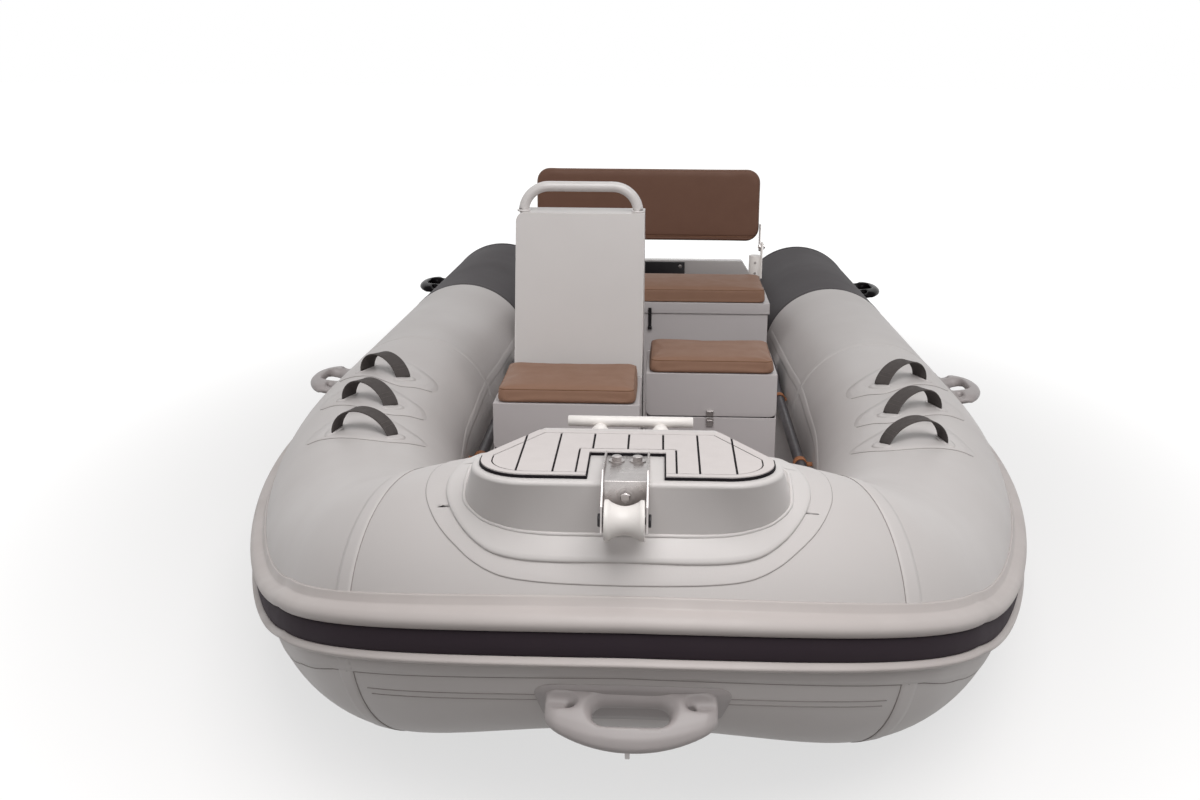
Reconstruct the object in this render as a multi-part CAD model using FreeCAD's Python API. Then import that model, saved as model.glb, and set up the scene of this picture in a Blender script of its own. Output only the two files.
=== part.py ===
import FreeCAD, Part
import math
import os
from FreeCAD import Vector

# Rigid inflatable boat with a console, two seat lockers, an aft bench and a bow step.
# X runs to port, Y runs aft and Z runs up. The origin is on the centreline,
# amidships, on the water's surface. Everything is in millimetres.

# Air tube: size and the plan of its centreline, from the middle of the bow to the stern
tube_r = 210.0
tube_bow_r = 205.0
tube_axis_z = 200.0
bow_y = -1780.0
bow_arc_r = 842.0
bow_arc_turn = math.radians(3.0)
corner_arc_r = 366.0
corner_arc_turn = math.radians(61.0)
quarter_arc_r = 2685.0
stern_taper = math.radians(1.4)
quarter_arc_turn = math.pi / 2 + stern_taper - bow_arc_turn - corner_arc_turn
bow_rise = 212.0
bow_rise_length = 1119.0
bow_rise_power = 3.9
seam_bow_s = 312.0
seam_split_s = 572.0
seam_dark_s = 2841.0
tube_straight_s = 3777.0
cone_length = 270.0
cone_tip_r = 78.0
cone_round_r = 45.0

# Rubbing strake, measured from the tube's axis up its outside
strake_shift = 7.0
strake_tape_top = 58.0
strake_tape_t = 3.0
strake_rail_top = 44.0
strake_band_top = 14.0
strake_band_low = -23.0
strake_rail_low = -42.0
strake_rail_out = 21.0
strake_band_out = 13.0
strake_end_s = 3700.0
strake_gap = 0.3

# Hull, deck and transom
deck_z = 100.0
deck_t = 4.0
hull_top_z = 330.0
keel_z = -160.0
keel_front_z = 200.0
keel_rise_start = 1200.0
keel_rise_power = 2.2
chine_under_axis = 208.0
chine_inset = 118.0
chine_pinch = 0.09
forefoot_marks = (45.0, 120.0, 250.0, 350.0, 460.0)
keel_marks = (150.0, 200.0, 300.0, 450.0, 700.0, 1000.0, 1300.0, 2000.0)
keel_least = 1.0
hull_aft = 3300.0
skin_gap = 0.8
fine = 0.01
cockpit_front = 240.0
keel_bar_t = 8.0
keel_bar_depth = 16.0
stem_eye_behind = 170.0
stem_eye_z = 62.0
stem_lobe_r = 26.0
deck_lap = 60.0
transom_t = 42.0
transom_top_z = 385.0
transom_shoulder_z = 345.0
transom_flat_half = 350.0
pad_w = 270.0
pad_h = 190.0
pad_t = 8.0
pad_drop = 6.0

# Seats and lockers
sheet = 4.0
seat_top_z = 455.0
lid_top_z = 418.0
lid_gap = 0.3
skirt_depth = 106.0
hinge_r = 4.0
console_seat_x = (-322.0, 2.0)
console_seat_y = (-751.0, -490.0)
port_seat_x = (12.0, 328.0)
port_seat_y = (-446.0, -206.0)
bench_half = 372.0
bench_front_y = 483.0
bench_hinge_y = 777.0
bench_back_y = 930.0
bench_skirt = 34.0
bench_cushion_t = 45.0
cushion_inset = 4.0
cushion_behind = 10.0
cushion_edge_r = 8.0
bench_cushion_lap = 8.0
fold_gap = 2.0
fold_corner_r = 15.0
bench_lid_gap = 1.0
latch_x = 185.0
latch_half = 9.0
latch_deep = 7.0
latch_drop = 22.0
latch_round = 2.0
latch_gap = 2.5

# Steering console
console_x = (-307.0, 3.0)
console_foot_y = -434.0
console_top_front_y = -360.0
console_top_back_y = -250.0
console_dash_y = -165.0
console_dash_z = 640.0
console_back_y = -90.0
console_knee_z = 420.0
console_top_z = 790.0
console_wall = 5.0
rail_r = 12.5
rail_height = 60.0
rail_bend_r = 62.0
rail_inset = 16.0
rail_ahead = 20.0
wheel_r = 148.0
wheel_rim_r = 12.0
wheel_hub_r = 34.0
wheel_spokes = 3
wheel_hub_h = 26.0
wheel_hub_low = 20.0
spoke_half = 11.0
spoke_half_t = 4.0
helm_reach = 85.0
helm_gap = 0.5
helm_foot_r = 48.0
helm_neck_r = 26.0

# Bow step, roller and cleat
step_above_tube = 11.0
step_top_z = tube_axis_z + bow_rise + tube_bow_r + step_above_tube
step_ahead = 168.0
step_behind = 99.0
step_wide_ahead = 85.0
step_front_y = bow_y - step_ahead
step_back_y = bow_y + step_behind
step_wide_y = bow_y - step_wide_ahead
step_half = 217.0
step_back_half = 131.0
step_corner_r = 80.0
step_least_r = 10.0
step_depth = 190.0
step_open_ahead = 60.0
step_wall = 4.0
flange_side = 48.0
flange_front = 19.0
flange_t = 4.0
pad_inset = 14.0
pad_thick = 6.0
pad_back = 34.0
notch_half = 52.0
notch_ahead = 47.0
notch_back_y = bow_y - notch_ahead
roller_r = 27.0
roller_waist_r = 20.0
roller_half = 27.0
roller_ahead = 206.0
roller_drop = 40.0
roller_y = bow_y - roller_ahead
roller_z = step_top_z - roller_drop
pin_r = 5.0
cheek_gap = 1.5
cheek_t = 3.0
cheek_heel_h = 10.0
cheek_brow = (12.0, 22.0)
cheek_nose_top = (16.0, 24.0)
cheek_nose_low = (20.0, 12.0)
cheek_drop = 62.0
bracket_lip = 52.0
bracket_gap = 8.0
pin_gap = 0.05
pin_head = 4.0
cleat_bar_r = 8.5
cleat_half = 96.0
cleat_post_x = 46.0
cleat_behind = 129.0
cleat_above_step = 2.0
cleat_y = bow_y + cleat_behind
cleat_z = step_top_z + cleat_above_step
cleat_post_r = 11.0
cleat_post_drop = 16.0
cleat_ball_r = 13.0
cleat_ball_lift = 4.0

# Straps and moulded handles
strap_s = (1124.0, 1386.0, 1644.0)
strap_w = 34.0
strap_t = 4.0
strap_half = 56.0
strap_rise = 58.0
strap_sink = 12.0
handle_half = 105.0
handle_out = 74.0
handle_side_out = 27.0
handle_corner_r = 16.0
handle_root = 14.0
handle_t = 26.0
handle_edge_r = 6.0
handle_bar = 28.0
handle_droop = 9.0
handle_slot_half = 51.0
handle_slot_deep = 44.0
handle_slot_r = 17.0
rope_hole_r = 6.0
rope_hole_x = 72.0
rope_hole_out = 14.5
rope_scoop_r = 11.0
handle_base_half = 120.0
handle_base_rise = 42.0
handle_base_r = 18.0
handle_base_t = 4.0
handle_side_s = 1940.0
handle_aft_s = 3479.0
handle_side_angle = math.radians(34.0)
handle_bow_angle = math.radians(-30.0)
handle_lean = math.radians(-18.0)

# Backrest
rest_half = 363.0
rest_low_z = 550.0
rest_top_z = 785.0
rest_t = 38.0
rest_corner_r = 38.0
rest_y = 853.0
rest_pivot_z = 537.0
post_t = 6.0
post_half = 12.0
post_gap = 1.0
post_low = 20.0
post_above_pin = 14.0
tie_low = 24.0
tie_high = 44.0
arm_half = 10.0
arm_up = 60.0
arm_disc_r = 15.0
tooth_count = 10
tooth_half = 2.0
tooth_deep = 2.5
socket_r = 19.5
socket_top_z = 508.0

# Stowed oars and stern gear
oar_x = 384.0
oar_z = 215.0
oar_r = 14.0
oar_y = (-640.0, 160.0)
blade_y = 430.0
blade_half_t = 5.0
blade_half_h = 62.0
oar_band_w = 25.0
oar_band_t = 2.5
oar_band_fore = 120.0
oar_band_aft = 60.0
oar_tab = 60.0
oar_tab_half_t = 2.0
eye_hole_r = 12.0
eye_x = 300.0
eye_z = 190.0
eye_reach = 26.0
eye_lobe_r = 24.0
eye_half_t = 4.0
eye_plate_half = 20.0
eye_plate_half_h = 40.0
eye_plate_t = 6.0


def moved(shape, matrix):
    """Put a shape drawn at the origin at a station of the tube."""
    placed = shape.copy()
    placed.Placement = FreeCAD.Placement(matrix)
    return placed


def plan_of_tube(s):
    """Point and heading of the port half of the centreline at arc length s."""
    x = 0.0
    y = 0.0
    heading = 0.0
    left = s
    arcs = ((bow_arc_r, bow_arc_turn), (corner_arc_r, corner_arc_turn), (quarter_arc_r, quarter_arc_turn))
    for radius, turn in arcs:
        step = min(left, radius * turn)
        end = heading + step / radius
        x += radius * (math.sin(end) - math.sin(heading))
        y += radius * (math.cos(heading) - math.cos(end))
        heading = end
        left -= step
    x += left * math.cos(heading)
    y += left * math.sin(heading)
    return x, y, heading


def bow_lift(y):
    """How far the bow rises above the level part of the tube, y behind the bow's centreline."""
    share = max(0.0, (bow_rise_length - y) / bow_rise_length)
    return bow_rise * share ** bow_rise_power


def axis_point(s):
    x, y, heading = plan_of_tube(abs(s))
    return Vector(math.copysign(x, s), bow_y + y, tube_axis_z + bow_lift(y))


def station(s):
    """Matrix of a tube section: x outward, y upward, z along the tube towards the bow's middle."""
    heading = plan_of_tube(abs(s))[2]
    side = math.copysign(1.0, s)
    out = Vector(side * math.sin(heading), -math.cos(heading), 0)
    nib = 1.0
    along = axis_point(s + nib).sub(axis_point(s - nib)).normalize()
    up = out.cross(along).normalize()
    back = out.cross(up)
    at = axis_point(s)
    matrix = FreeCAD.Matrix(out.x, up.x, back.x, at.x, out.y, up.y, back.y, at.y,
                            out.z, up.z, back.z, at.z, 0, 0, 0, 1)
    return matrix


def tube_radius(s):
    """The tube is a little slimmer in the middle of the bow."""
    share = min(1.0, abs(s) / (corner_arc_r * corner_arc_turn))
    return tube_bow_r + (tube_r - tube_bow_r) * share


def stations_between(start, end, count):
    return [start + (end - start) * i / count for i in range(count + 1)]


def corner_end():
    return bow_arc_r * bow_arc_turn + corner_arc_r * corner_arc_turn


def quarter_end():
    return corner_end() + quarter_arc_r * quarter_arc_turn


def level_start():
    """Arc length at which the bow's lift has died out, on the long arc of the quarter."""
    x, y, heading = plan_of_tube(corner_end())
    level_heading = math.acos(math.cos(heading) - (bow_rise_length - y) / quarter_arc_r)
    return corner_end() + quarter_arc_r * (level_heading - heading)


def corner_marks():
    """Stations from the bow seam round the rest of the corner."""
    return stations_between(seam_bow_s, seam_split_s, 5)


def quarter_marks():
    """Stations along the side as far as the tube still rises to the bow."""
    return stations_between(seam_split_s, level_start(), 8)


def circle_wire(radius):
    return Part.Wire([Part.Circle(Vector(0, 0, 0), Vector(0, 0, 1), radius).toShape()])


def tube_loft(marks, extra=0.0):
    wires = [moved(circle_wire(tube_radius(s) + extra), station(s)) for s in marks]
    return Part.makeLoft(wires, True, False)


def mirrored(shape):
    return shape.mirror(Vector(0, 0, 0), Vector(1, 0, 0))


def box(x0, x1, y0, y1, z0, z1):
    return Part.makeBox(x1 - x0, y1 - y0, z1 - z0, Vector(x0, y0, z0))


def polygon(points):
    return Part.Face(Part.makePolygon([Vector(*p) for p in points] + [Vector(*points[0])]))


def rod(start, end, radius):
    a = Vector(*start)
    b = Vector(*end)
    return Part.makeCylinder(radius, b.sub(a).Length, a, b.sub(a))


def bow_marks():
    return stations_between(-seam_bow_s, seam_bow_s, 12)


def bow_tube(extra=0.0):
    return tube_loft(bow_marks(), extra)


def level_lengths(wire, end):
    """Sweep a section along the level arc of the side, then straight aft as far as end."""
    x, y, heading = plan_of_tube(corner_end())
    centre = Vector(x - quarter_arc_r * math.sin(heading), bow_y + y + quarter_arc_r * math.cos(heading), 0)
    turn = math.degrees((quarter_end() - level_start()) / quarter_arc_r)
    arc = Part.Face(moved(wire, station(level_start()))).revolve(centre, Vector(0, 0, 1), turn)
    heading = plan_of_tube(quarter_end())[2]
    run = end - quarter_end()
    straight = Part.Face(moved(wire, station(quarter_end()))).extrude(
        Vector(run * math.cos(heading), run * math.sin(heading), 0))
    return [arc, straight]


def side_tube_lengths(extra=0.0):
    """Side of the tube: two lifted lengths, a level arc and a straight length, end to end."""
    lifted = [tube_loft(corner_marks(), extra), tube_loft(quarter_marks(), extra)]
    return lifted + level_lengths(circle_wire(tube_r + extra), seam_dark_s)


def aft_tube():
    """Dark section: a straight cylinder that ends in a blunt, rounded cone."""
    straight = tube_straight_s - seam_dark_s
    tip = straight + cone_length
    slope = math.atan2(tube_r - cone_tip_r, cone_length)
    nose_mid = math.radians(45.0) + slope / 2
    centre_z = tip - cone_round_r
    centre_r = cone_tip_r - cone_round_r * math.cos(slope)
    shoulder = Vector(centre_r + cone_round_r * math.cos(slope), 0, centre_z + cone_round_r * math.sin(slope))
    middle = Vector(centre_r + cone_round_r * math.cos(nose_mid), 0, centre_z + cone_round_r * math.sin(nose_mid))
    nose = Vector(centre_r, 0, tip)
    edges = [Part.LineSegment(Vector(0, 0, 0), Vector(tube_r, 0, 0)).toShape(),
             Part.LineSegment(Vector(tube_r, 0, 0), Vector(tube_r, 0, straight)).toShape(),
             Part.LineSegment(Vector(tube_r, 0, straight), shoulder).toShape(),
             Part.Arc(shoulder, middle, nose).toShape(),
             Part.LineSegment(nose, Vector(0, 0, tip)).toShape(),
             Part.LineSegment(Vector(0, 0, tip), Vector(0, 0, 0)).toShape()]
    solid = Part.Face(Part.Wire(edges)).revolve(Vector(0, 0, 0), Vector(0, 0, 1), 360)
    heading = plan_of_tube(seam_dark_s)[2]
    aft = Vector(math.cos(heading), math.sin(heading), 0)
    solid.Placement = FreeCAD.Placement(axis_point(seam_dark_s), FreeCAD.Rotation(Vector(0, 0, 1), aft))
    return solid


def skin_point(radius, up, out):
    """Point at a height up the section and a distance outside the tube's skin."""
    return Vector(math.sqrt(radius ** 2 - up ** 2) + out, up, 0)


def skin_arc(radius, low, high):
    middle = (low + high) / 2
    return Part.Arc(skin_point(radius, low, 0), skin_point(radius, middle, 0), skin_point(radius, high, 0)).toShape()


def upper_rail_profile(radius):
    low = strake_band_top + strake_shift
    ledge = strake_rail_top + strake_shift
    top = strake_tape_top + strake_shift
    mid = (low + ledge) / 2
    a = skin_point(radius, low, 0)
    b = skin_point(radius, low, strake_band_out)
    c = Vector(radius + strake_rail_out, mid, 0)
    d = skin_point(radius, ledge, strake_band_out / 2)
    e = skin_point(radius, ledge, strake_tape_t)
    f = skin_point(radius, top, strake_tape_t)
    g = skin_point(radius, top, 0)
    return Part.Wire([Part.LineSegment(a, b).toShape(), Part.Arc(b, c, d).toShape(),
                      Part.LineSegment(d, e).toShape(), Part.LineSegment(e, f).toShape(),
                      Part.LineSegment(f, g).toShape(), skin_arc(radius, top, low)])


def band_profile(radius):
    low = strake_band_low + strake_shift + strake_gap
    high = strake_band_top + strake_shift - strake_gap
    a = skin_point(radius, low, 0)
    b = skin_point(radius, low, strake_band_out)
    c = skin_point(radius, high, strake_band_out)
    d = skin_point(radius, high, 0)
    return Part.Wire([Part.LineSegment(a, b).toShape(), Part.LineSegment(b, c).toShape(),
                      Part.LineSegment(c, d).toShape(), skin_arc(radius, high, low)])


def lower_rail_profile(radius):
    low = strake_rail_low + strake_shift
    high = strake_band_low + strake_shift
    a = skin_point(radius, low, 0)
    c = Vector(radius + strake_rail_out, (low + high) / 2, 0)
    b = skin_point(radius, low, strake_tape_t)
    d = skin_point(radius, high, strake_band_out)
    e = skin_point(radius, high, 0)
    return Part.Wire([Part.LineSegment(a, b).toShape(), Part.Arc(b, c, d).toShape(),
                      Part.LineSegment(d, e).toShape(), skin_arc(radius, high, low)])


def strake(profile):
    """Strake round the bow and back along both sides."""
    bow = strake_length(profile, bow_marks())
    sides = [strake_length(profile, corner_marks()), strake_length(profile, quarter_marks())]
    sides += level_lengths(profile(tube_r + skin_gap), strake_end_s)
    return bow.fuse(sides + [mirrored(one) for one in sides]).removeSplitter()


def strake_length(profile, marks):
    """Length of the strake through the given stations."""
    wires = [moved(profile(tube_radius(s) + skin_gap), station(s)) for s in marks]
    return Part.makeLoft(wires, True, False)


def keel_at(y):
    """Height of the keel line, y behind the bow's centreline."""
    share = max(0.0, (keel_rise_start - y) / keel_rise_start)
    return keel_z + (keel_front_z - keel_z) * share ** keel_rise_power


def chine_at(y):
    """Half width and height of the chine, which runs beside the tube and closes in at the bow."""
    pinch = max(0.0, forefoot_marks[-1] - y) * chine_pinch
    half = plan_of_tube(s_at(y))[0] - chine_inset - pinch
    return half, tube_axis_z - chine_under_axis + bow_lift(y)


def forefoot_section(y):
    half, chine_z = chine_at(y)
    low = min(keel_at(y), chine_z - keel_least)
    corners = ((0, low), (half, chine_z), (half, hull_top_z), (-half, hull_top_z), (-half, chine_z))
    points = [Vector(x, bow_y + y, z) for x, z in corners]
    return Part.makePolygon(points + [points[0]])


def s_at(y):
    """Arc length of the point of the port centreline that lies y behind the bow's centreline."""
    low = 0.0
    high = tube_straight_s
    while high - low > fine:
        mid = (low + high) / 2
        if plan_of_tube(mid)[1] < y:
            low = mid
        else:
            high = mid
    return low


def skin_crossing(s, z):
    """Point at height z on the inner side of the tube's section at s."""
    frame = station(s)
    out = Vector(frame.A11, frame.A21, frame.A31)
    up = Vector(frame.A12, frame.A22, frame.A32)
    at = axis_point(s)
    rise = (z - at.z) / up.z
    reach = math.sqrt(tube_r ** 2 - rise ** 2) + skin_gap
    return at.add(up * rise).sub(out * reach)


def inner_skin(y, z):
    """Half width at which a level line across the boat meets the tube's inner side."""
    low = corner_end() / 2
    high = tube_straight_s
    while high - low > fine:
        mid = (low + high) / 2
        if skin_crossing(mid, z).y - bow_y < y:
            low = mid
        else:
            high = mid
    return skin_crossing(low, z).x


def hull_section(y):
    """V bottom, chine, and a side that follows the tube up to the deck."""
    half, chine_z = chine_at(y)
    keel = Vector(0, bow_y + y, keel_at(y))
    chine = Vector(half, bow_y + y, chine_z)
    x = plan_of_tube(s_at(y))[0]
    reach = (x - half) * math.sin(plan_of_tube(s_at(y))[2])
    low_z = tube_axis_z + bow_lift(y) - math.sqrt(tube_r ** 2 - reach ** 2) - skin_gap
    mid_z = (low_z + deck_z) / 2
    side = Vector(half, bow_y + y, low_z)
    bend = Vector(inner_skin(y, mid_z), bow_y + y, mid_z)
    deck = Vector(inner_skin(y, deck_z), bow_y + y, deck_z)
    right = [Part.LineSegment(keel, chine).toShape(), Part.LineSegment(chine, side).toShape(),
             Part.Arc(side, bend, deck).toShape()]
    flat = Part.LineSegment(deck, flipped(deck)).toShape()
    left = [Part.Arc(flipped(deck), flipped(bend), flipped(side)).toShape(),
            Part.LineSegment(flipped(side), flipped(chine)).toShape(),
            Part.LineSegment(flipped(chine), keel).toShape()]
    return Part.Wire(right + [flat] + left)


def flipped(point):
    return Vector(-point.x, point.y, point.z)


def hull_body(around):
    """Forefoot under the bow tube, joined to the long body between the side tubes."""
    raw = Part.makeLoft([forefoot_section(y) for y in forefoot_marks], True, False)
    wide = plan_of_tube(tube_straight_s)[0]
    cockpit = box(-wide, wide, bow_y + cockpit_front, bow_y + hull_aft, deck_z, hull_top_z * 2)
    forefoot = largest(raw.cut(cockpit).cut(around))
    straight_y = plan_of_tube(quarter_end())[1]
    marks = stations_between(forefoot_marks[-1], straight_y, 9)
    body = Part.makeLoft([hull_section(y) for y in marks], True, False).cut(around[0])
    run = Part.makeLoft([hull_section(straight_y), hull_section(hull_aft)], True, True)
    return largest(forefoot.fuse([body, run]).removeSplitter())


def largest(shape):
    return sorted(shape.Solids, key=lambda one: one.Volume)[-1]


def keel_bar():
    """Upright bar under the keel line that grows into the stem plate with its towing eye."""
    marks = keel_marks + (hull_aft,)
    low = [Vector(-keel_bar_t / 2, bow_y + y, keel_at(y) - keel_bar_depth) for y in marks]
    high = [Vector(-keel_bar_t / 2, bow_y + y, keel_at(y) + keel_bar_depth) for y in reversed(marks)]
    lower = Part.BSplineCurve()
    lower.interpolate(low)
    upper = Part.BSplineCurve()
    upper.interpolate(high)
    outline = Part.Wire([lower.toShape(), Part.LineSegment(low[-1], high[0]).toShape(), upper.toShape(),
                         Part.LineSegment(high[-1], low[0]).toShape()])
    return Part.Face(outline).extrude(Vector(keel_bar_t, 0, 0))


def stem_eye():
    """Plate that hangs from the stem with a round lobe and a hole for the tow line."""
    y = bow_y + stem_eye_behind
    z = stem_eye_z
    lobe = stem_lobe_r
    plate = rod((-keel_bar_t / 2, y, z), (keel_bar_t / 2, y, z), lobe)
    web = polygon([(-keel_bar_t / 2, y - lobe, z), (-keel_bar_t / 2, y + lobe, z),
                   (-keel_bar_t / 2, y + lobe * 5, z + lobe * 4), (-keel_bar_t / 2, y - lobe, z + lobe * 4)])
    plate = plate.fuse(web.extrude(Vector(keel_bar_t, 0, 0)))
    hole = rod((-keel_bar_t, y, z), (keel_bar_t, y, z), eye_hole_r)
    return plate.cut(hole)


def keel_and_stem(around, hull):
    whole = keel_bar().fuse(stem_eye()).cut(hull).cut(around[0])
    return largest(whole.removeSplitter())


def deck_floor():
    """Deck plate whose edges follow the tube's inner side."""
    front = forefoot_marks[-1] - deck_lap
    straight_y = plan_of_tube(quarter_end())[1]
    marks = stations_between(front, straight_y, 9) + stations_between(straight_y, hull_aft, 4)[1:]
    edge = [Vector(inner_skin(y, deck_z + deck_t), bow_y + y, deck_z) for y in marks]
    port = Part.BSplineCurve()
    port.interpolate(edge)
    starboard = Part.BSplineCurve()
    starboard.interpolate([flipped(point) for point in reversed(edge)])
    outline = Part.Wire([port.toShape(), Part.LineSegment(edge[-1], flipped(edge[-1])).toShape(), starboard.toShape(),
                         Part.LineSegment(flipped(edge[0]), edge[0]).toShape()])
    return Part.Face(outline).extrude(Vector(0, 0, deck_t))


def transom(around):
    """Plate across the stern, as wide as the hull, with shoulders that meet the tubes."""
    y0 = bow_y + hull_aft
    half, chine_z = chine_at(hull_aft)
    slope = half - transom_shoulder_z / 4
    points = [(0, y0, keel_z), (half, y0, chine_z), (half, y0, transom_shoulder_z),
              (slope, y0, transom_shoulder_z), (transom_flat_half, y0, transom_top_z),
              (-transom_flat_half, y0, transom_top_z), (-slope, y0, transom_shoulder_z),
              (-half, y0, transom_shoulder_z), (-half, y0, chine_z)]
    plate = polygon(points).extrude(Vector(0, transom_t, 0))
    return largest(plate.cut(around))


def motor_pad(y):
    z1 = transom_top_z - pad_drop
    return box(-pad_w / 2, pad_w / 2, y, y + pad_t, z1 - pad_h, z1)


def seat_box(xs, front, back, top, front_top):
    """Open-topped locker of sheet, with its front wall lower where the lid folds over it."""
    outer = box(xs[0], xs[1], front, back, deck_z + deck_t, top)
    inner = box(xs[0] + sheet, xs[1] - sheet, front + sheet, back - sheet, deck_z + deck_t + sheet, top * 2)
    fold = box(xs[0] - sheet, xs[1] + sheet, front - sheet, front + sheet + lid_gap, front_top, top * 2)
    return outer.cut(inner).cut(fold)


def seat_lid(xs, front, back, top, low):
    """Lid of sheet that folds down over the upper front of its locker."""
    plate = box(xs[0], xs[1], front, back, top - sheet, top)
    fold = box(xs[0], xs[1], front, front + sheet, low, top)
    corners = [e for e in fold.Edges if abs(e.tangentAt(e.FirstParameter).y) > 0.9 and e.CenterOfMass.z < low + sheet]
    return plate.fuse(fold.makeFillet(fold_corner_r, corners)).removeSplitter()


def rounded_box(x0, x1, y0, y1, z0, z1, radius):
    """Box with rounded upright edges."""
    solid = box(x0, x1, y0, y1, z0, z1)
    upright = [e for e in solid.Edges if abs(e.tangentAt(e.FirstParameter).z) > 0.9]
    return solid.makeFillet(radius, upright)


def cushion(xs, front, back, low, high):
    solid = box(xs[0] + cushion_inset, xs[1] - cushion_inset, front, back, low, high)
    return solid.makeFillet(cushion_edge_r, solid.Edges)


def bench_box():
    top = lid_top_z - sheet - lid_gap
    outer = box(-bench_half, bench_half, bench_front_y, bench_back_y, deck_z + deck_t, top)
    inner = box(-bench_half + sheet, bench_half - sheet, bench_front_y + sheet, bench_back_y - sheet,
                deck_z + deck_t + sheet, top * 2)
    shelf = box(-bench_half, bench_half, bench_hinge_y + hinge_r, bench_back_y, top - sheet, top)
    return outer.cut(inner).fuse(shelf).removeSplitter()


def bench_lid():
    skin = sheet + bench_lid_gap
    y0 = bench_front_y - skin
    y1 = bench_hinge_y - hinge_r - lid_gap
    outer = box(-bench_half - skin, bench_half + skin, y0, y1, lid_top_z - bench_skirt, lid_top_z)
    inner = box(-bench_half - bench_lid_gap, bench_half + bench_lid_gap, bench_front_y - bench_lid_gap, y1 + skin,
                0, lid_top_z - sheet)
    return outer.cut(inner)


def hinge_rod(xs, y):
    """Rod between the locker's side walls that the lid turns about."""
    z = lid_top_z - hinge_r
    return rod((xs[0] + sheet, y, z), (xs[1] - sheet, y, z), hinge_r)


def latch(x, y, z0, z1):
    return rounded_box(x - latch_half, x + latch_half, y - latch_deep, y, z0, z1, latch_round)


def console_side(grow):
    """Outline of the console seen from its side, moved in by grow."""
    return [(console_foot_y + grow, deck_z + deck_t), (console_foot_y + grow, console_knee_z),
            (console_top_front_y + grow, console_top_z - grow), (console_top_back_y - grow / 2, console_top_z - grow),
            (console_dash_y - grow, console_dash_z - grow / 2), (console_back_y - grow, console_knee_z),
            (console_back_y - grow, deck_z + deck_t)]


def console_body():
    x0, x1 = console_x
    outer = polygon([(x0, y, z) for y, z in console_side(0.0)]).extrude(Vector(x1 - x0, 0, 0))
    inner = polygon([(x0 + console_wall, y, z) for y, z in console_side(console_wall)])
    return outer.cut(inner.extrude(Vector(x1 - x0 - console_wall * 2, 0, 0)))


def grab_rail():
    """Bent round tube that stands on top of the console."""
    y = (console_top_front_y + console_top_back_y) / 2 - rail_ahead
    x0 = console_x[0] + rail_inset
    x1 = console_x[1] - rail_inset
    z0 = console_top_z
    z1 = z0 + rail_height
    c = rail_bend_r - rail_bend_r * math.cos(math.radians(45.0))
    straight = z1 - rail_bend_r
    low = min(straight, z0)
    points = [Vector(x0, y, low), Vector(x0 + c, y, z1 - c), Vector(x0 + rail_bend_r, y, z1),
              Vector(x1 - rail_bend_r, y, z1), Vector(x1 - c, y, z1 - c), Vector(x1, y, low)]
    path = Part.Wire([Part.Arc(points[0], points[1], points[2]).toShape(),
                      Part.LineSegment(points[2], points[3]).toShape(),
                      Part.Arc(points[3], points[4], points[5]).toShape()])
    ring = Part.Wire([Part.Circle(points[0], Vector(0, 0, 1), rail_r).toShape()])
    pipe = path.makePipeShell([ring], True, True)
    below = box(x0 - rail_r * 2, x1 + rail_r * 2, y - rail_r * 2, y + rail_r * 2, z0 - rail_height, z0)
    return largest(pipe.cut(below))


def wheel_centre():
    """Centre of the steering wheel, on the dash normal."""
    y0 = (console_dash_y + console_back_y) / 2
    z0 = (console_dash_z + console_knee_z) / 2
    normal = dash_normal()
    x = (console_x[0] + console_x[1]) / 2
    return Vector(x, y0 + normal.y * helm_reach, z0 + normal.z * helm_reach)


def dash_normal():
    run = console_back_y - console_dash_y
    fall = console_dash_z - console_knee_z
    return Vector(0, fall, run).normalize()


def steering_wheel():
    rim = Part.makeTorus(wheel_r - wheel_rim_r, wheel_rim_r)
    hub = Part.makeCylinder(wheel_hub_r, wheel_hub_h, Vector(0, 0, -wheel_hub_low))
    whole = rim.fuse(hub)
    for i in range(wheel_spokes):
        arm = box(0, wheel_r - wheel_rim_r, -spoke_half, spoke_half, -spoke_half_t, spoke_half_t)
        arm.rotate(Vector(0, 0, 0), Vector(0, 0, 1), 90.0 + 360.0 * i / wheel_spokes)
        whole = whole.fuse(arm)
    whole = whole.removeSplitter()
    whole.Placement = FreeCAD.Placement(wheel_centre(), FreeCAD.Rotation(Vector(0, 0, 1), dash_normal()))
    return whole


def helm_boss():
    """Fixed boss on the dash that carries the wheel's shaft."""
    normal = dash_normal()
    end = wheel_centre().sub(normal * (wheel_hub_low + helm_gap))
    start = wheel_centre().sub(normal * helm_reach)
    return Part.makeCone(helm_foot_r, helm_neck_r, end.sub(start).Length, start, normal)


def step_outline(inset, z, front_inset=None):
    """Plan of the bow step: straight front, round front corners and cut back corners."""
    half = step_half - inset
    back_half = step_back_half - inset * 0.6
    front = step_front_y + (inset if front_inset is None else front_inset)
    back = step_back_y - inset
    wide = step_wide_y
    r = max(step_corner_r - inset, step_least_r)
    k = math.sqrt(0.5)
    fr = Vector(half - r, front, z)
    right = Vector(half, front + r, z)
    turn = Vector(half - r + r * k, front + r - r * k, z)
    edges = [Part.LineSegment(Vector(-fr.x, front, z), fr).toShape(),
             Part.Arc(fr, turn, right).toShape(),
             Part.LineSegment(right, Vector(half, wide + r / 4, z)).toShape(),
             Part.LineSegment(Vector(half, wide + r / 4, z), Vector(back_half, back, z)).toShape(),
             Part.LineSegment(Vector(back_half, back, z), Vector(-back_half, back, z)).toShape(),
             Part.LineSegment(Vector(-back_half, back, z), Vector(-half, wide + r / 4, z)).toShape(),
             Part.LineSegment(Vector(-half, wide + r / 4, z), Vector(-half, front + r, z)).toShape(),
             Part.Arc(Vector(-half, front + r, z), Vector(-turn.x, turn.y, z), Vector(-fr.x, front, z)).toShape()]
    return Part.Face(Part.Wire(edges))


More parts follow.
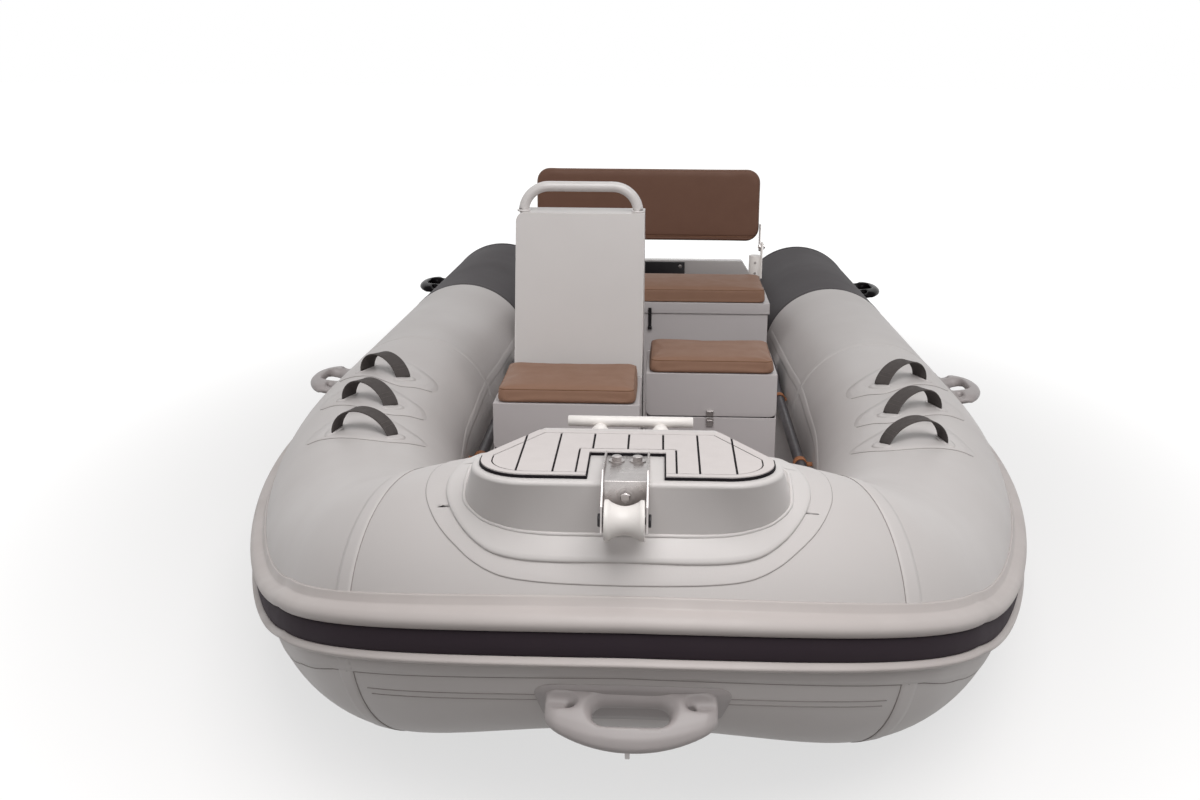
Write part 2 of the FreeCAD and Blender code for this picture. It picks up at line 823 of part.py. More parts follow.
def bow_step(around):
    """Box of sheet that sits over the bow tube."""
    low = tube_axis_z
    height = step_top_z - low
    outer = step_outline(0.0, low).extrude(Vector(0, 0, height))
    inner = step_outline(step_wall, low).extrude(Vector(0, 0, height - step_wall))
    floor = step_top_z - step_depth
    below = box(-step_half * 2, step_half * 2, bow_y - step_open_ahead, step_back_y + step_behind, low - step_wall, floor)
    return largest(outer.cut(inner).cut(below).cut(around))


def skin_sector(radius):
    """Section of the plate: a strip of the tube's skin from above the strake to the crown."""
    low = strake_tape_top + strake_shift + flange_t
    start = math.asin(low / radius)
    middle = (start + math.pi / 2) / 2
    rim = radius + flange_t
    inner = [Vector(radius * math.cos(a), radius * math.sin(a), 0) for a in (start, middle, math.pi / 2)]
    outer = [Vector(rim * math.cos(a), rim * math.sin(a), 0) for a in (start, middle, math.pi / 2)]
    return Part.Wire([Part.Arc(inner[0], inner[1], inner[2]).toShape(), Part.LineSegment(inner[2], outer[2]).toShape(),
                      Part.Arc(outer[2], outer[1], outer[0]).toShape(), Part.LineSegment(outer[0], inner[0]).toShape()])


def step_flange():
    """Plate lying on the bow tube round the foot of the step."""
    marks = stations_between(-corner_end(), corner_end(), 16)
    skin = Part.makeLoft([moved(skin_sector(tube_radius(s) + skin_gap), station(s)) for s in marks], True, False)
    low = tube_axis_z + bow_rise
    ring = step_outline(-flange_side, low, -flange_front).extrude(Vector(0, 0, step_top_z - low))
    hole = step_outline(0.0, low - flange_t).extrude(Vector(0, 0, step_top_z))
    front = box(-step_half * 2, step_half * 2, step_front_y - flange_side, step_wide_y + flange_side, low, step_top_z)
    return largest(skin.common(ring.cut(hole).common(front)))


def step_pad():
    pad = step_outline(pad_inset, step_top_z).extrude(Vector(0, 0, pad_thick))
    low = step_top_z - pad_thick
    high = step_top_z + pad_thick * 2
    notch = box(-notch_half, notch_half, step_front_y - pad_inset, notch_back_y, low, high)
    back = box(-step_half * 2, step_half * 2, step_back_y - pad_back, step_back_y + pad_back, low, high)
    return pad.cut(notch).cut(back)


def roller_bracket():
    """Folded channel: a foot on the step's top, a lip down its front, and two cheeks."""
    half = roller_half + cheek_gap + cheek_t
    heel = notch_back_y - bracket_gap
    foot = box(-half, half, step_front_y - cheek_t, heel, step_top_z, step_top_z + cheek_t)
    lip = box(-half, half, step_front_y - cheek_t, step_front_y, step_top_z - bracket_lip, step_top_z + cheek_t)
    side = polygon([(-half, heel, step_top_z), (-half, heel, step_top_z + cheek_heel_h),
                    (-half, step_front_y - cheek_brow[0], step_top_z + cheek_brow[1]),
                    (-half, roller_y - cheek_nose_top[0], roller_z + cheek_nose_top[1]),
                    (-half, roller_y - cheek_nose_low[0], roller_z - cheek_nose_low[1]),
                    (-half, step_front_y, step_top_z - cheek_drop), (-half, step_front_y, step_top_z)])
    cheek = side.extrude(Vector(cheek_t, 0, 0))
    hole = rod((-half - cheek_t, roller_y, roller_z), (half + cheek_t, roller_y, roller_z), pin_r)
    return foot.fuse([lip, cheek, mirrored(cheek)]).removeSplitter().cut(hole)


def roller():
    """Concave roller, bored for its pin."""
    a = Vector(-roller_half, 0, roller_r)
    b = Vector(0, 0, roller_waist_r)
    c = Vector(roller_half, 0, roller_r)
    bore = pin_r + pin_gap
    edges = [Part.Arc(a, b, c).toShape(), Part.LineSegment(c, Vector(roller_half, 0, bore)).toShape(),
             Part.LineSegment(Vector(roller_half, 0, bore), Vector(-roller_half, 0, bore)).toShape(),
             Part.LineSegment(Vector(-roller_half, 0, bore), a).toShape()]
    solid = Part.Face(Part.Wire(edges)).revolve(Vector(0, 0, 0), Vector(1, 0, 0), 360)
    solid.translate(Vector(0, roller_y, roller_z))
    return solid


def roller_pin():
    half = roller_half + cheek_gap + cheek_t
    pin = rod((-half, roller_y, roller_z), (half, roller_y, roller_z), pin_r - pin_gap)
    head = rod((-half - pin_head, roller_y, roller_z), (-half, roller_y, roller_z), pin_r + pin_head)
    return pin.fuse([head, mirrored(head)])


def bow_cleat():
    bar = rod((-cleat_half, cleat_y, cleat_z), (cleat_half, cleat_y, cleat_z), cleat_bar_r)
    z = cleat_z - cleat_post_drop
    for side in (-1, 1):
        x = side * cleat_post_x
        post = rod((x, step_back_y, z), (x, cleat_y, z), cleat_post_r)
        ball = Part.makeSphere(cleat_ball_r, Vector(x, cleat_y, z + cleat_ball_lift))
        bar = bar.fuse([post, ball])
    return bar.removeSplitter()


def strap_arch(s):
    """Webbing arch that stands across the top of the tube."""
    tall = tube_r + strap_rise
    foot = math.sqrt(tube_r ** 2 - strap_half ** 2) - strap_sink
    rise = tall - foot
    faces = []
    for grow in (strap_t / 2, -strap_t / 2):
        wide = strap_half + grow
        high = rise + grow
        ring = Part.Ellipse(Vector(0, 0, 0), max(wide, high), min(wide, high))
        wire = Part.Wire([ring.toShape()])
        if high > wide:
            wire.rotate(Vector(0, 0, 0), Vector(0, 0, 1), 90)
        wire.translate(Vector(0, foot, -strap_w / 2))
        faces.append(Part.Face(wire).extrude(Vector(0, 0, strap_w)))
    arch = faces[0].cut(faces[1])
    arch = arch.cut(Part.makeCylinder(tube_r + skin_gap, strap_w * 2, Vector(0, 0, -strap_w)))
    below = box(-tube_r, tube_r, -tube_r, foot, -strap_w, strap_w)
    return moved(largest(arch.cut(below)), station(s))


def straps(side):
    return Part.makeCompound([strap_arch(side * s) for s in strap_s])


def handle_plan():
    """Outline of the handle's plate: straight sides that run out to a round outer edge."""
    low = -handle_root
    side = handle_side_out
    edges = [Part.LineSegment(Vector(-handle_half, low, 0), Vector(-handle_half, side, 0)).toShape(),
             Part.Arc(Vector(-handle_half, side, 0), Vector(0, handle_out, 0), Vector(handle_half, side, 0)).toShape(),
             Part.LineSegment(Vector(handle_half, side, 0), Vector(handle_half, low, 0)).toShape(),
             Part.LineSegment(Vector(handle_half, low, 0), Vector(-handle_half, low, 0)).toShape()]
    return Part.Face(Part.Wire(edges))


def rounded_plate(face, low, high):
    """Plate of the outline between two heights, with round outer corners and edges."""
    plate = face.extrude(Vector(0, 0, high - low))
    plate.translate(Vector(0, 0, low))
    corners = [e for e in plate.Edges if abs(e.tangentAt(e.FirstParameter).z) > 0.9 and e.CenterOfMass.y > 0]
    return plate.makeFillet(handle_corner_r, corners)


def handle_lip():
    """Strip under the plate's outer edge, where the moulding hangs down as a grip."""
    rise = handle_out - handle_side_out
    outer_r = (handle_half ** 2 + rise ** 2) / (2 * rise)
    plate = rounded_plate(handle_plan(), -handle_t / 2 - handle_droop, -handle_t / 2)
    hollow = Part.makeCylinder(outer_r - handle_bar, handle_t * 2, Vector(0, handle_out - outer_r, -handle_t * 2))
    return plate.cut(hollow).common(box(-handle_half, handle_half, 0, handle_out, -handle_t * 2, 0))


def handle_openings():
    """Finger opening behind the bar, and the rope holes with their scooped mouths."""
    high = handle_slot_deep / 2
    middle = handle_out - handle_bar - high
    deep = handle_t * 2
    slot = rounded_box(-handle_slot_half, handle_slot_half, middle - high, middle + high, -deep, deep, handle_slot_r)
    cuts = [slot]
    for side in (-1, 1):
        x = side * rope_hole_x
        cuts.append(Part.makeCylinder(rope_hole_r, deep * 2, Vector(x, rope_hole_out, -deep)))
        cuts.append(rod((x, rope_hole_out, handle_t / 2), (side * deep * 4, rope_hole_out, handle_t / 2), rope_scoop_r))
        cuts.append(Part.makeSphere(rope_scoop_r, Vector(x, rope_hole_out, handle_t / 2)))
    return cuts


def moulded_handle(s, angle):
    """Moulded handle: a plate that stands out from the tube, with its grip bar, on a bonded base patch."""
    plate = rounded_plate(handle_plan(), -handle_t / 2, handle_t / 2).fuse(handle_lip()).removeSplitter()
    plate = plate.cut(handle_openings())
    plate.Placement = FreeCAD.Placement(Vector(0, 0, 0), FreeCAD.Rotation(Vector(1, 0, 0), math.degrees(handle_lean)))
    patch = rounded_box(-handle_base_half, handle_base_half, -handle_base_rise, handle_base_rise,
                        -handle_base_half, handle_base_half, handle_base_r)
    patch.rotate(Vector(0, 0, 0), Vector(1, 0, 0), -90.0)
    marks = stations_between(s - handle_half * 2, s + handle_half * 2, 4)
    skin = tube_loft(marks, skin_gap + handle_base_t).cut(tube_loft(marks, skin_gap))
    # local x runs along the tube and local y outward from its skin
    lay = FreeCAD.Rotation(Vector(0, 0, -1), Vector(1, 0, 0), Vector(0, 1, 0), "XYZ")
    stand = FreeCAD.Rotation(Vector(0, 0, 1), math.degrees(angle))
    foot = Vector(tube_radius(s) * math.cos(angle), tube_radius(s) * math.sin(angle), 0)
    local = FreeCAD.Placement(foot, stand.multiply(lay))
    place = FreeCAD.Placement(station(s)).multiply(local)
    plate.Placement = place.multiply(plate.Placement)
    patch.Placement = place.multiply(patch.Placement)
    plate = plate.cut(tube_loft(marks, skin_gap))
    return largest(plate.fuse(patch.common(skin)))


def backrest():
    solid = box(-rest_half, rest_half, rest_y - rest_t / 2, rest_y + rest_t / 2, rest_low_z, rest_top_z)
    deep = [e for e in solid.Edges if abs(e.tangentAt(e.FirstParameter).y) > 0.9]
    return solid.makeFillet(rest_corner_r, deep)


def rest_arm(x):
    """Flat arm from the pivot up into the pad's end, with a toothed disc round the pivot."""
    disc = rod((x, rest_y, rest_pivot_z), (x + post_t, rest_y, rest_pivot_z), arm_disc_r)
    root = arm_disc_r - tooth_deep
    for i in range(tooth_count):
        notch = box(x - post_t, x + post_t * 2, -tooth_half, tooth_half, root, arm_disc_r + tooth_deep)
        notch.rotate(Vector(0, 0, 0), Vector(1, 0, 0), 360.0 * i / tooth_count)
        notch.translate(Vector(0, rest_y, rest_pivot_z))
        disc = disc.cut(notch)
    bar = box(x, x + post_t, rest_y - arm_half, rest_y + arm_half, rest_pivot_z, rest_low_z + arm_up)
    bore = rod((x - post_t, rest_y, rest_pivot_z), (x + post_t * 2, rest_y, rest_pivot_z), pin_r + pin_gap)
    return disc.fuse(bar).removeSplitter().cut(bore)


def rest_arms():
    arm = rest_arm(rest_half)
    return Part.makeCompound([arm, mirrored(arm)])


def rest_posts():
    """Sockets on the bench's rear shelf with the flat posts and pins that carry the backrest."""
    top = lid_top_z - sheet - lid_gap
    x = rest_half + post_t + post_gap
    middle = bench_half - socket_r
    socket = rod((middle, rest_y, top), (middle, rest_y, socket_top_z), socket_r)
    post = box(x, x + post_t, rest_y - post_half, rest_y + post_half, top + post_low, rest_pivot_z + post_above_pin)
    tie = box(middle, x, rest_y - arm_half, rest_y + arm_half, top + tie_low, top + tie_high)
    pin = rod((x - post_t - post_gap * 3, rest_y, rest_pivot_z), (x, rest_y, rest_pivot_z), pin_r)
    one = socket.fuse([post, tie, pin]).removeSplitter()
    return Part.makeCompound([one, mirrored(one)])


def oar(side):
    x = side * oar_x
    shaft = rod((x, oar_y[0], oar_z), (x, oar_y[1], oar_z), oar_r)
    grip = Part.makeSphere(oar_r, Vector(x, oar_y[0], oar_z))
    blade = box(x - blade_half_t, x + blade_half_t, oar_y[1], blade_y, oar_z - blade_half_h, oar_z + blade_half_h)
    return shaft.fuse([grip, blade]).removeSplitter()


def oar_straps(side, around):
    """Two bands that hold the oar to the tube, each with a tab on the tube's skin."""
    x = side * oar_x
    far = side * (oar_x + oar_tab)
    bands = []
    for y in (oar_y[0] + oar_band_fore, oar_y[1] - oar_band_aft):
        end = y + oar_band_w
        band = rod((x, y, oar_z), (x, end, oar_z), oar_r + oar_band_t)
        tab = box(min(x, far), max(x, far), y, end, oar_z - oar_tab_half_t, oar_z + oar_tab_half_t)
        shaft = rod((x, y - oar_band_w, oar_z), (x, end + oar_band_w, oar_z), oar_r + pin_gap)
        bands.append(largest(band.fuse(tab).cut(shaft).cut(around)))
    return Part.makeCompound(bands)


def stern_eyes():
    """Two plates on the transom's after face, each with a level lug that has a round hole."""
    y = bow_y + hull_aft + transom_t
    hole_y = y + eye_reach
    low = eye_z - eye_half_t
    high = eye_z + eye_half_t
    eyes = []
    for side in (-1, 1):
        x = side * eye_x
        base = box(x - eye_plate_half, x + eye_plate_half, y, y + eye_plate_t, eye_z - eye_plate_half_h,
                   eye_z + eye_plate_half_h)
        lobe = rod((x, hole_y, low), (x, hole_y, high), eye_lobe_r)
        web = box(x - eye_lobe_r, x + eye_lobe_r, y, hole_y, low, high)
        hole = rod((x, hole_y, low - eye_half_t), (x, hole_y, high + eye_half_t), eye_hole_r)
        keep = box(x - eye_lobe_r, x + eye_lobe_r, y, hole_y + eye_lobe_r, low, high)
        lug = lobe.fuse(web).common(keep)
        eyes.append(base.fuse(lug).removeSplitter().cut(hole))
    return Part.makeCompound(eyes)


def save(name, shape):
    shape.exportStep("parts/" + name + ".step")
    print(name, "solids", len(shape.Solids), "valid", shape.isValid(), "volume", round(shape.Volume / 1e6, 3))


def build():
    os.makedirs("parts", exist_ok=True)
    bow = bow_tube()
    lengths = side_tube_lengths()
    port = lengths[0].fuse(lengths[1:]).removeSplitter()
    starboard = mirrored(port)
    aft = aft_tube()
    cleared = side_tube_lengths(skin_gap)
    around = [bow_tube(skin_gap)] + cleared + [mirrored(one) for one in cleared] + [aft, mirrored(aft)]
    save("tube_bow", bow)
    save("tube_port", port)
    save("tube_starboard", starboard)
    save("tube_aft_port", aft)
    save("tube_aft_starboard", mirrored(aft))
    save("strake_upper_rail", strake(upper_rail_profile))
    save("strake_band", strake(band_profile))
    save("strake_lower_rail", strake(lower_rail_profile))

    hull = hull_body(around)
    save("hull", hull)
    save("keel_and_stem", keel_and_stem(around, hull))
    save("deck_floor", deck_floor())
    save("transom", transom(around))
    save("motor_pad_inner", motor_pad(bow_y + hull_aft - pad_t))
    save("motor_pad_outer", motor_pad(bow_y + hull_aft + transom_t))
    save("stern_eyes", stern_eyes())

    lid_low = lid_top_z - skirt_depth
    for name, xs, ys in (("console_seat", console_seat_x, console_seat_y), ("port_seat", port_seat_x, port_seat_y)):
        front, back = ys
        hinge_y = back + cushion_behind
        under = lid_top_z - sheet - lid_gap
        box_back = hinge_y + hinge_r + sheet
        save(name + "_box", seat_box(xs, front, box_back, under, lid_low - fold_gap))
        save(name + "_lid", seat_lid(xs, front, hinge_y - hinge_r - lid_gap, lid_top_z, lid_low))
        save(name + "_cushion", cushion(xs, front - cushion_inset, back, lid_top_z, seat_top_z))
        save(name + "_hinge", hinge_rod(xs, hinge_y))
    save("port_seat_latch", latch(latch_x, port_seat_y[0], lid_low - latch_drop, lid_low - latch_gap))

    save("bench_box", bench_box())
    save("bench_lid", bench_lid())
    save("bench_cushion", cushion((-bench_half, bench_half), bench_front_y - bench_cushion_lap, bench_hinge_y - cushion_behind,
                                  lid_top_z, lid_top_z + bench_cushion_t))
    save("bench_hinge", hinge_rod((-bench_half, bench_half), bench_hinge_y))
    save("backrest_posts", rest_posts())
    save("backrest_arms", rest_arms())
    save("backrest_pad", backrest())

    save("console_body", console_body())
    save("console_grab_rail", grab_rail())
    save("helm_boss", helm_boss())
    save("steering_wheel", steering_wheel())

    save("bow_step", bow_step(around[0]))
    save("bow_step_flange", step_flange())
    save("bow_step_pad", step_pad())
    save("roller_bracket", roller_bracket())
    save("bow_roller", roller())
    save("roller_pin", roller_pin())
    save("bow_cleat", bow_cleat())
    save("strap_handles_port", straps(1))
    save("strap_handles_starboard", straps(-1))
    save("tow_handle_bow", moulded_handle(0.0, handle_bow_angle))
    for name, s in (("side", handle_side_s), ("aft", handle_aft_s)):
        save("carry_handle_" + name + "_port", moulded_handle(s, handle_side_angle))
        save("carry_handle_" + name + "_starboard", mirrored(moulded_handle(s, handle_side_angle)))
    for name, side in (("port", 1), ("starboard", -1)):
        save("oar_" + name, oar(side))
        save("oar_straps_" + name, oar_straps(side, around))


if __name__ == "__main__":
    build()
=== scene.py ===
import logging
import math
from dataclasses import dataclass
from enum import Enum
from typing import Callable, Dict, List, Optional, Sequence, Tuple

import bmesh
import bpy
from mathutils import Matrix, Vector
from mathutils.bvhtree import BVHTree


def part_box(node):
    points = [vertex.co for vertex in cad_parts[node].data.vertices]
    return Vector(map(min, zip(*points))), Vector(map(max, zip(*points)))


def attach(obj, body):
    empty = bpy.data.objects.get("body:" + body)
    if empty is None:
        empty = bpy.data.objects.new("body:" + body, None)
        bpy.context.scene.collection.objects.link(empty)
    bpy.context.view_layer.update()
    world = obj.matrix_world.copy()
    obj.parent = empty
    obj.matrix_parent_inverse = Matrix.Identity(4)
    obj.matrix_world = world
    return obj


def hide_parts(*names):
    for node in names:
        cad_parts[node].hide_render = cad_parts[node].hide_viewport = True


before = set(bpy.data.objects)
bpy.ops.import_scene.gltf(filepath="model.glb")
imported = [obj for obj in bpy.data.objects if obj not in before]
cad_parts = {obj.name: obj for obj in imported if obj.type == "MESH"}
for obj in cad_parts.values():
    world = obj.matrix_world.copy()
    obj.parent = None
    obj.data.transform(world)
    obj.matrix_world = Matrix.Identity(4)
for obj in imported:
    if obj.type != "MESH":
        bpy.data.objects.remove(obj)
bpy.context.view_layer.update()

log = logging.getLogger("boat")

Flat = Tuple[float, float]
Row = Tuple[float, ...]
Piece = bpy.types.Object
Tree = bpy.types.NodeTree
Socket = bpy.types.NodeSocket

MM = 0.001
# Points round a section of the air tube
RING = 96
# How deep a bonded layer's border is sunk in the tube's skin, in metres
SUNK = -0.0004
SIDES = ((1, "port"), (-1, "starboard"))
# Turns that stand a small part, drawn upright, square to a wall that faces the bow or the stern
FACES_BOW = Matrix.Rotation(math.pi / 2, 3, "X")
FACES_STERN = Matrix.Rotation(-math.pi / 2, 3, "X")


# Small helpers for colour, nodes and meshes

def linear(hex_code: str) -> Tuple[float, float, float, float]:
    """Turns an sRGB hex colour into the linear values that a shader takes.

    Args:
        hex_code: Six hex digits after a hash.

    Returns:
        Red, green, blue and an alpha of 1.
    """
    parts = [int(hex_code[i:i + 2], 16) / 255.0 for i in (1, 3, 5)]
    low = [p / 12.92 if p <= 0.04045 else ((p + 0.055) / 1.055) ** 2.4 for p in parts]
    return low[0], low[1], low[2], 1.0


def add(tree: Tree, kind: str, props: Optional[dict] = None, values: Optional[dict] = None,
        links: Optional[dict] = None) -> bpy.types.Node:
    """Adds a node with its settings and links.

    Args:
        tree: The node tree that gets the node.
        kind: The node's type name.
        props: Settings of the node by attribute name.
        values: Values of its inputs by name or place.
        links: Sockets that feed its inputs, by the input's name or place.

    Returns:
        The new node.
    """
    made = tree.nodes.new(kind)
    for name, value in (props or {}).items():
        setattr(made, name, value)
    for name, value in (values or {}).items():
        made.inputs[name].default_value = value
    for name, source in (links or {}).items():
        tree.links.new(source, made.inputs[name])
    return made


def placed(name: str, data: Optional[bpy.types.ID]) -> Piece:
    """Makes an object of a mesh, a lamp or a camera and links it to the scene."""
    made = bpy.data.objects.new(name, data)
    bpy.context.scene.collection.objects.link(made)
    return made


def smoothed(piece: Piece, smooth: bool = True) -> Piece:
    """Sets whether a piece's faces are shaded smooth."""
    for polygon in piece.data.polygons:
        polygon.use_smooth = smooth
    return piece


def mesh_piece(name: str, points: Sequence[Sequence[float]], faces: Sequence[Sequence[int]],
               smooth: bool = True) -> Piece:
    """Makes a mesh object from points in the row frame and the corner numbers of its faces."""
    mesh = bpy.data.meshes.new(name)
    mesh.from_pydata([tuple(p) for p in points], [], [tuple(f) for f in faces])
    mesh.update()
    return smoothed(placed(name, mesh), smooth)


def mapped(piece: Piece, flats: Sequence[Flat]) -> None:
    """Gives a piece its map in metres, with one flat place for each point of its mesh."""
    layer = piece.data.uv_layers.new(name="skin")
    for loop in piece.data.loops:
        layer.data[loop.index].uv = flats[loop.vertex_index]


def loft(name: str, rings: Sequence[Sequence[Vector]], caps: bool = True, smooth: bool = True) -> Piece:
    """Skins a row of closed sections that have the same number of points.

    Args:
        name: The piece's name.
        rings: The sections, each a list of points.
        caps: Whether the first and last sections are filled.
        smooth: Whether the faces are shaded smooth.

    Returns:
        The object, with its faces pointing outwards.
    """
    count, last = len(rings[0]), len(rings) - 1
    faces: List[List[int]] = []
    for i in range(last):
        for j in range(count):
            k = (j + 1) % count
            faces.append([i * count + j, i * count + k, (i + 1) * count + k, (i + 1) * count + j])
    if caps:
        faces += [list(range(count)), [last * count + j for j in range(count)]]
    return outward(mesh_piece(name, [p for ring in rings for p in ring], faces, smooth))


def outward(piece: Piece) -> Piece:
    """Turns every face of a closed mesh outwards."""
    work = bmesh.new()
    work.from_mesh(piece.data)
    bmesh.ops.recalc_face_normals(work, faces=work.faces)
    work.to_mesh(piece.data)
    work.free()
    piece.data.update()
    return piece


def facing(piece: Piece, face: int, away: Vector) -> Piece:
    """Turns a thin layer over where one of its faces doesn't look the given way."""
    if piece.data.polygons[face].normal.dot(away) < 0:
        piece.data.flip_normals()
    return piece


def settled(piece: Piece) -> Piece:
    """Applies every modifier of a piece, so that it's a plain mesh, and gives it again."""
    graph = bpy.context.evaluated_depsgraph_get()
    mesh = bpy.data.meshes.new_from_object(piece.evaluated_get(graph))
    mesh.name = piece.name
    piece.modifiers.clear()
    piece.data = mesh
    return piece


def joined(name: str, pieces: Sequence[Piece]) -> Piece:
    """Joins several pieces into one mesh.

    Args:
        name: The name of the joined piece.
        pieces: The pieces to join, which are used up.

    Returns:
        The joined piece.
    """
    work = bmesh.new()
    slots: List[bpy.types.Material] = []
    for piece in pieces:
        start = len(work.faces)
        work.from_mesh(piece.data)
        work.faces.ensure_lookup_table()
        own = [m for m in piece.data.materials if m]
        slots += [m for m in own if m not in slots]
        for f in work.faces[start:] if own else ():
            f.material_index = slots.index(own[min(f.material_index, len(own) - 1)])
    mesh = bpy.data.meshes.new(name)
    work.to_mesh(mesh)
    work.free()
    for m in slots:
        mesh.materials.append(m)
    for piece in pieces:
        bpy.data.objects.remove(piece)
    return placed(name, mesh)


def bevelled(piece: Piece, width: float, segments: int = 3, angle: float = 35.0) -> Piece:
    """Rounds the sharp edges of a piece.

    Args:
        piece: The piece to round.
        width: Width of the rounding in metres.
        segments: How many strips make it.
        angle: Edges that turn by more than this many degrees are rounded.

    Returns:
        The same object as a plain mesh.
    """
    rounder = piece.modifiers.new("round", "BEVEL")
    rounder.width = width
    rounder.segments = segments
    rounder.limit_method = "ANGLE"
    rounder.angle_limit = math.radians(angle)
    rounder.harden_normals = True
    rounder.use_clamp_overlap = True
    return settled(smoothed(piece))


def softened(node: str, width: float, segments: int = 2, angle: float = 35.0,
             merge: float = 0.00005) -> Piece:
    """Copies a solid of the frame and rounds its sharp edges, as folded and welded sheet has.

    Args:
        node: The solid to copy.
        width: Width of the rounding in metres.
        segments: How many strips make it.
        angle: Edges that turn by more than this many degrees are rounded.
        merge: Distance under which corners are merged first.

    Returns:
        A new piece that stands for the solid.
    """
    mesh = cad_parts[node].data.copy()
    mesh.materials.clear()
    work = bmesh.new()
    work.from_mesh(mesh)
    bmesh.ops.remove_doubles(work, verts=work.verts, dist=merge)
    bmesh.ops.dissolve_limit(work, angle_limit=math.radians(1.0), verts=work.verts, edges=work.edges)
    bmesh.ops.recalc_face_normals(work, faces=work.faces)
    work.to_mesh(mesh)
    work.free()
    piece = bevelled(placed(node + "_dressed", mesh), width, segments, angle)
    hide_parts(node)
    return piece


def cut(piece: Piece, cutter: Piece) -> None:
    """Takes the cutter's volume away from a piece and removes the cutter."""
    knife = piece.modifiers.new("cut", "BOOLEAN")
    knife.operation = "DIFFERENCE"
    knife.solver = "EXACT"
    knife.object = cutter
    settled(piece)
    bpy.data.objects.remove(cutter)


def block(name: str, low: Sequence[float], high: Sequence[float]) -> Piece:
    """Makes a box between two corners."""
    points = [(x, y, z) for x in (low[0], high[0]) for y in (low[1], high[1]) for z in (low[2], high[2])]
    faces = [(0, 1, 3, 2), (4, 6, 7, 5), (0, 4, 5, 1), (2, 3, 7, 6), (0, 2, 6, 4), (1, 5, 7, 3)]
    return mesh_piece(name, points, faces, False)


def slab(name: str, outline: Sequence[Flat], z0: float, z1: float) -> Piece:
    """Makes an upright slab with the given plan outline between two heights."""
    return loft(name, [[Vector((x, y, z)) for x, y in outline] for z in (z0, z1)], smooth=False)


def circle(count: int) -> List[float]:
    """Spreads angles evenly round a full turn, in radians."""
    return [2 * math.pi * j / count for j in range(count)]


def disc(axis: int, middle: Sequence[float], r: float, count: int) -> List[Vector]:
    """Gives the points of a circle that stands square to the axis of that number."""
    first, second = ((1, 2), (0, 2), (0, 1))[axis]
    ring = []
    for t in circle(count):
        point = list(middle)
        point[first] += r * math.cos(t)
        point[second] += r * math.sin(t)
        ring.append(Vector(point))
    return ring


def turned(axis: int, middle: Sequence[float], rows: Sequence[Flat], count: int) -> List[List[Vector]]:
    """Gives the sections of a turned part.

    Args:
        axis: Number of the axis that it's turned about.
        middle: The place that its rows are measured from.
        rows: Distance along the axis and radius of each section.
        count: Points round it.

    Returns:
        Its sections, for a loft.
    """
    rings = []
    for along, r in rows:
        at = list(middle)
        at[axis] += along
        rings.append(disc(axis, at, r, count))
    return rings


def mirrored(half: Sequence[Flat]) -> List[Flat]:
    """Adds the mirrored half before a row of pairs that starts on the middle line."""
    return [(-a, b) for a, b in reversed(half[1:])] + list(half)


def corners(x0: float, y0: float, x1: float, y1: float, r: float, steps: int) -> List[Row]:
    """Walks the round corners of a rectangle, and gives each point with its outward direction."""
    middles = ((x1 - r, y1 - r), (x0 + r, y1 - r), (x0 + r, y0 + r), (x1 - r, y0 + r))
    walk = []
    for (cx, cy), start in zip(middles, (0, 90, 180, 270)):
        for i in range(steps + 1):
            t = math.radians(start + 90 / steps * i)
            walk.append((cx + r * math.cos(t), cy + r * math.sin(t), math.cos(t), math.sin(t)))
    return walk


def rounded(x0: float, y0: float, x1: float, y1: float, r: float) -> List[Row]:
    """Walks round the same rectangle with points at most 12 mm apart on its straight sides."""
    turns = corners(x0, y0, x1, y1, r, 8)
    walk = []
    for a, b in zip(turns, turns[1:] + turns[:1]):
        count = max(1, int(math.dist(a[:2], b[:2]) / 0.006))
        walk += [tuple(p + (q - p) * i / count for p, q in zip(a, b)) for i in range(count)]
    return walk


def smooth_value(table: Sequence[Flat], at: float) -> float:
    """Reads a smooth curve through a short table of places.

    Args:
        table: Pairs of place and value, in rising order of place.
        at: The place to read.

    Returns:
        The value there.
    """
    if at <= table[0][0]:
        return table[0][1]
    if at >= table[-1][0]:
        return table[-1][1]
    i = max(k for k in range(len(table) - 1) if table[k][0] <= at)
    (x0, y0), (x1, y1) = table[i:i + 2]
    left, right = table[max(i - 1, 0)], table[min(i + 2, len(table) - 1)]
    m0 = (y1 - left[1]) / (x1 - left[0]) if x1 > left[0] else 0.0
    m1 = (right[1] - y0) / (right[0] - x0) if right[0] > x0 else 0.0
    h = x1 - x0
    t = (at - x0) / h
    return ((2 * t ** 3 - 3 * t ** 2 + 1) * y0 + (t ** 3 - 2 * t ** 2 + t) * h * m0
            + (-2 * t ** 3 + 3 * t ** 2) * y1 + (t ** 3 - t ** 2) * h * m1)


# Finishes

class Relief(Enum):
    """The fine relief that a material's making leaves on it."""

    PLAIN = "plain"
    ORANGE_PEEL = "orange peel"
    WEAVE = "weave"
    LEATHER = "leather"
    BRUSHED = "brushed"
    SPECKLE = "speckle"


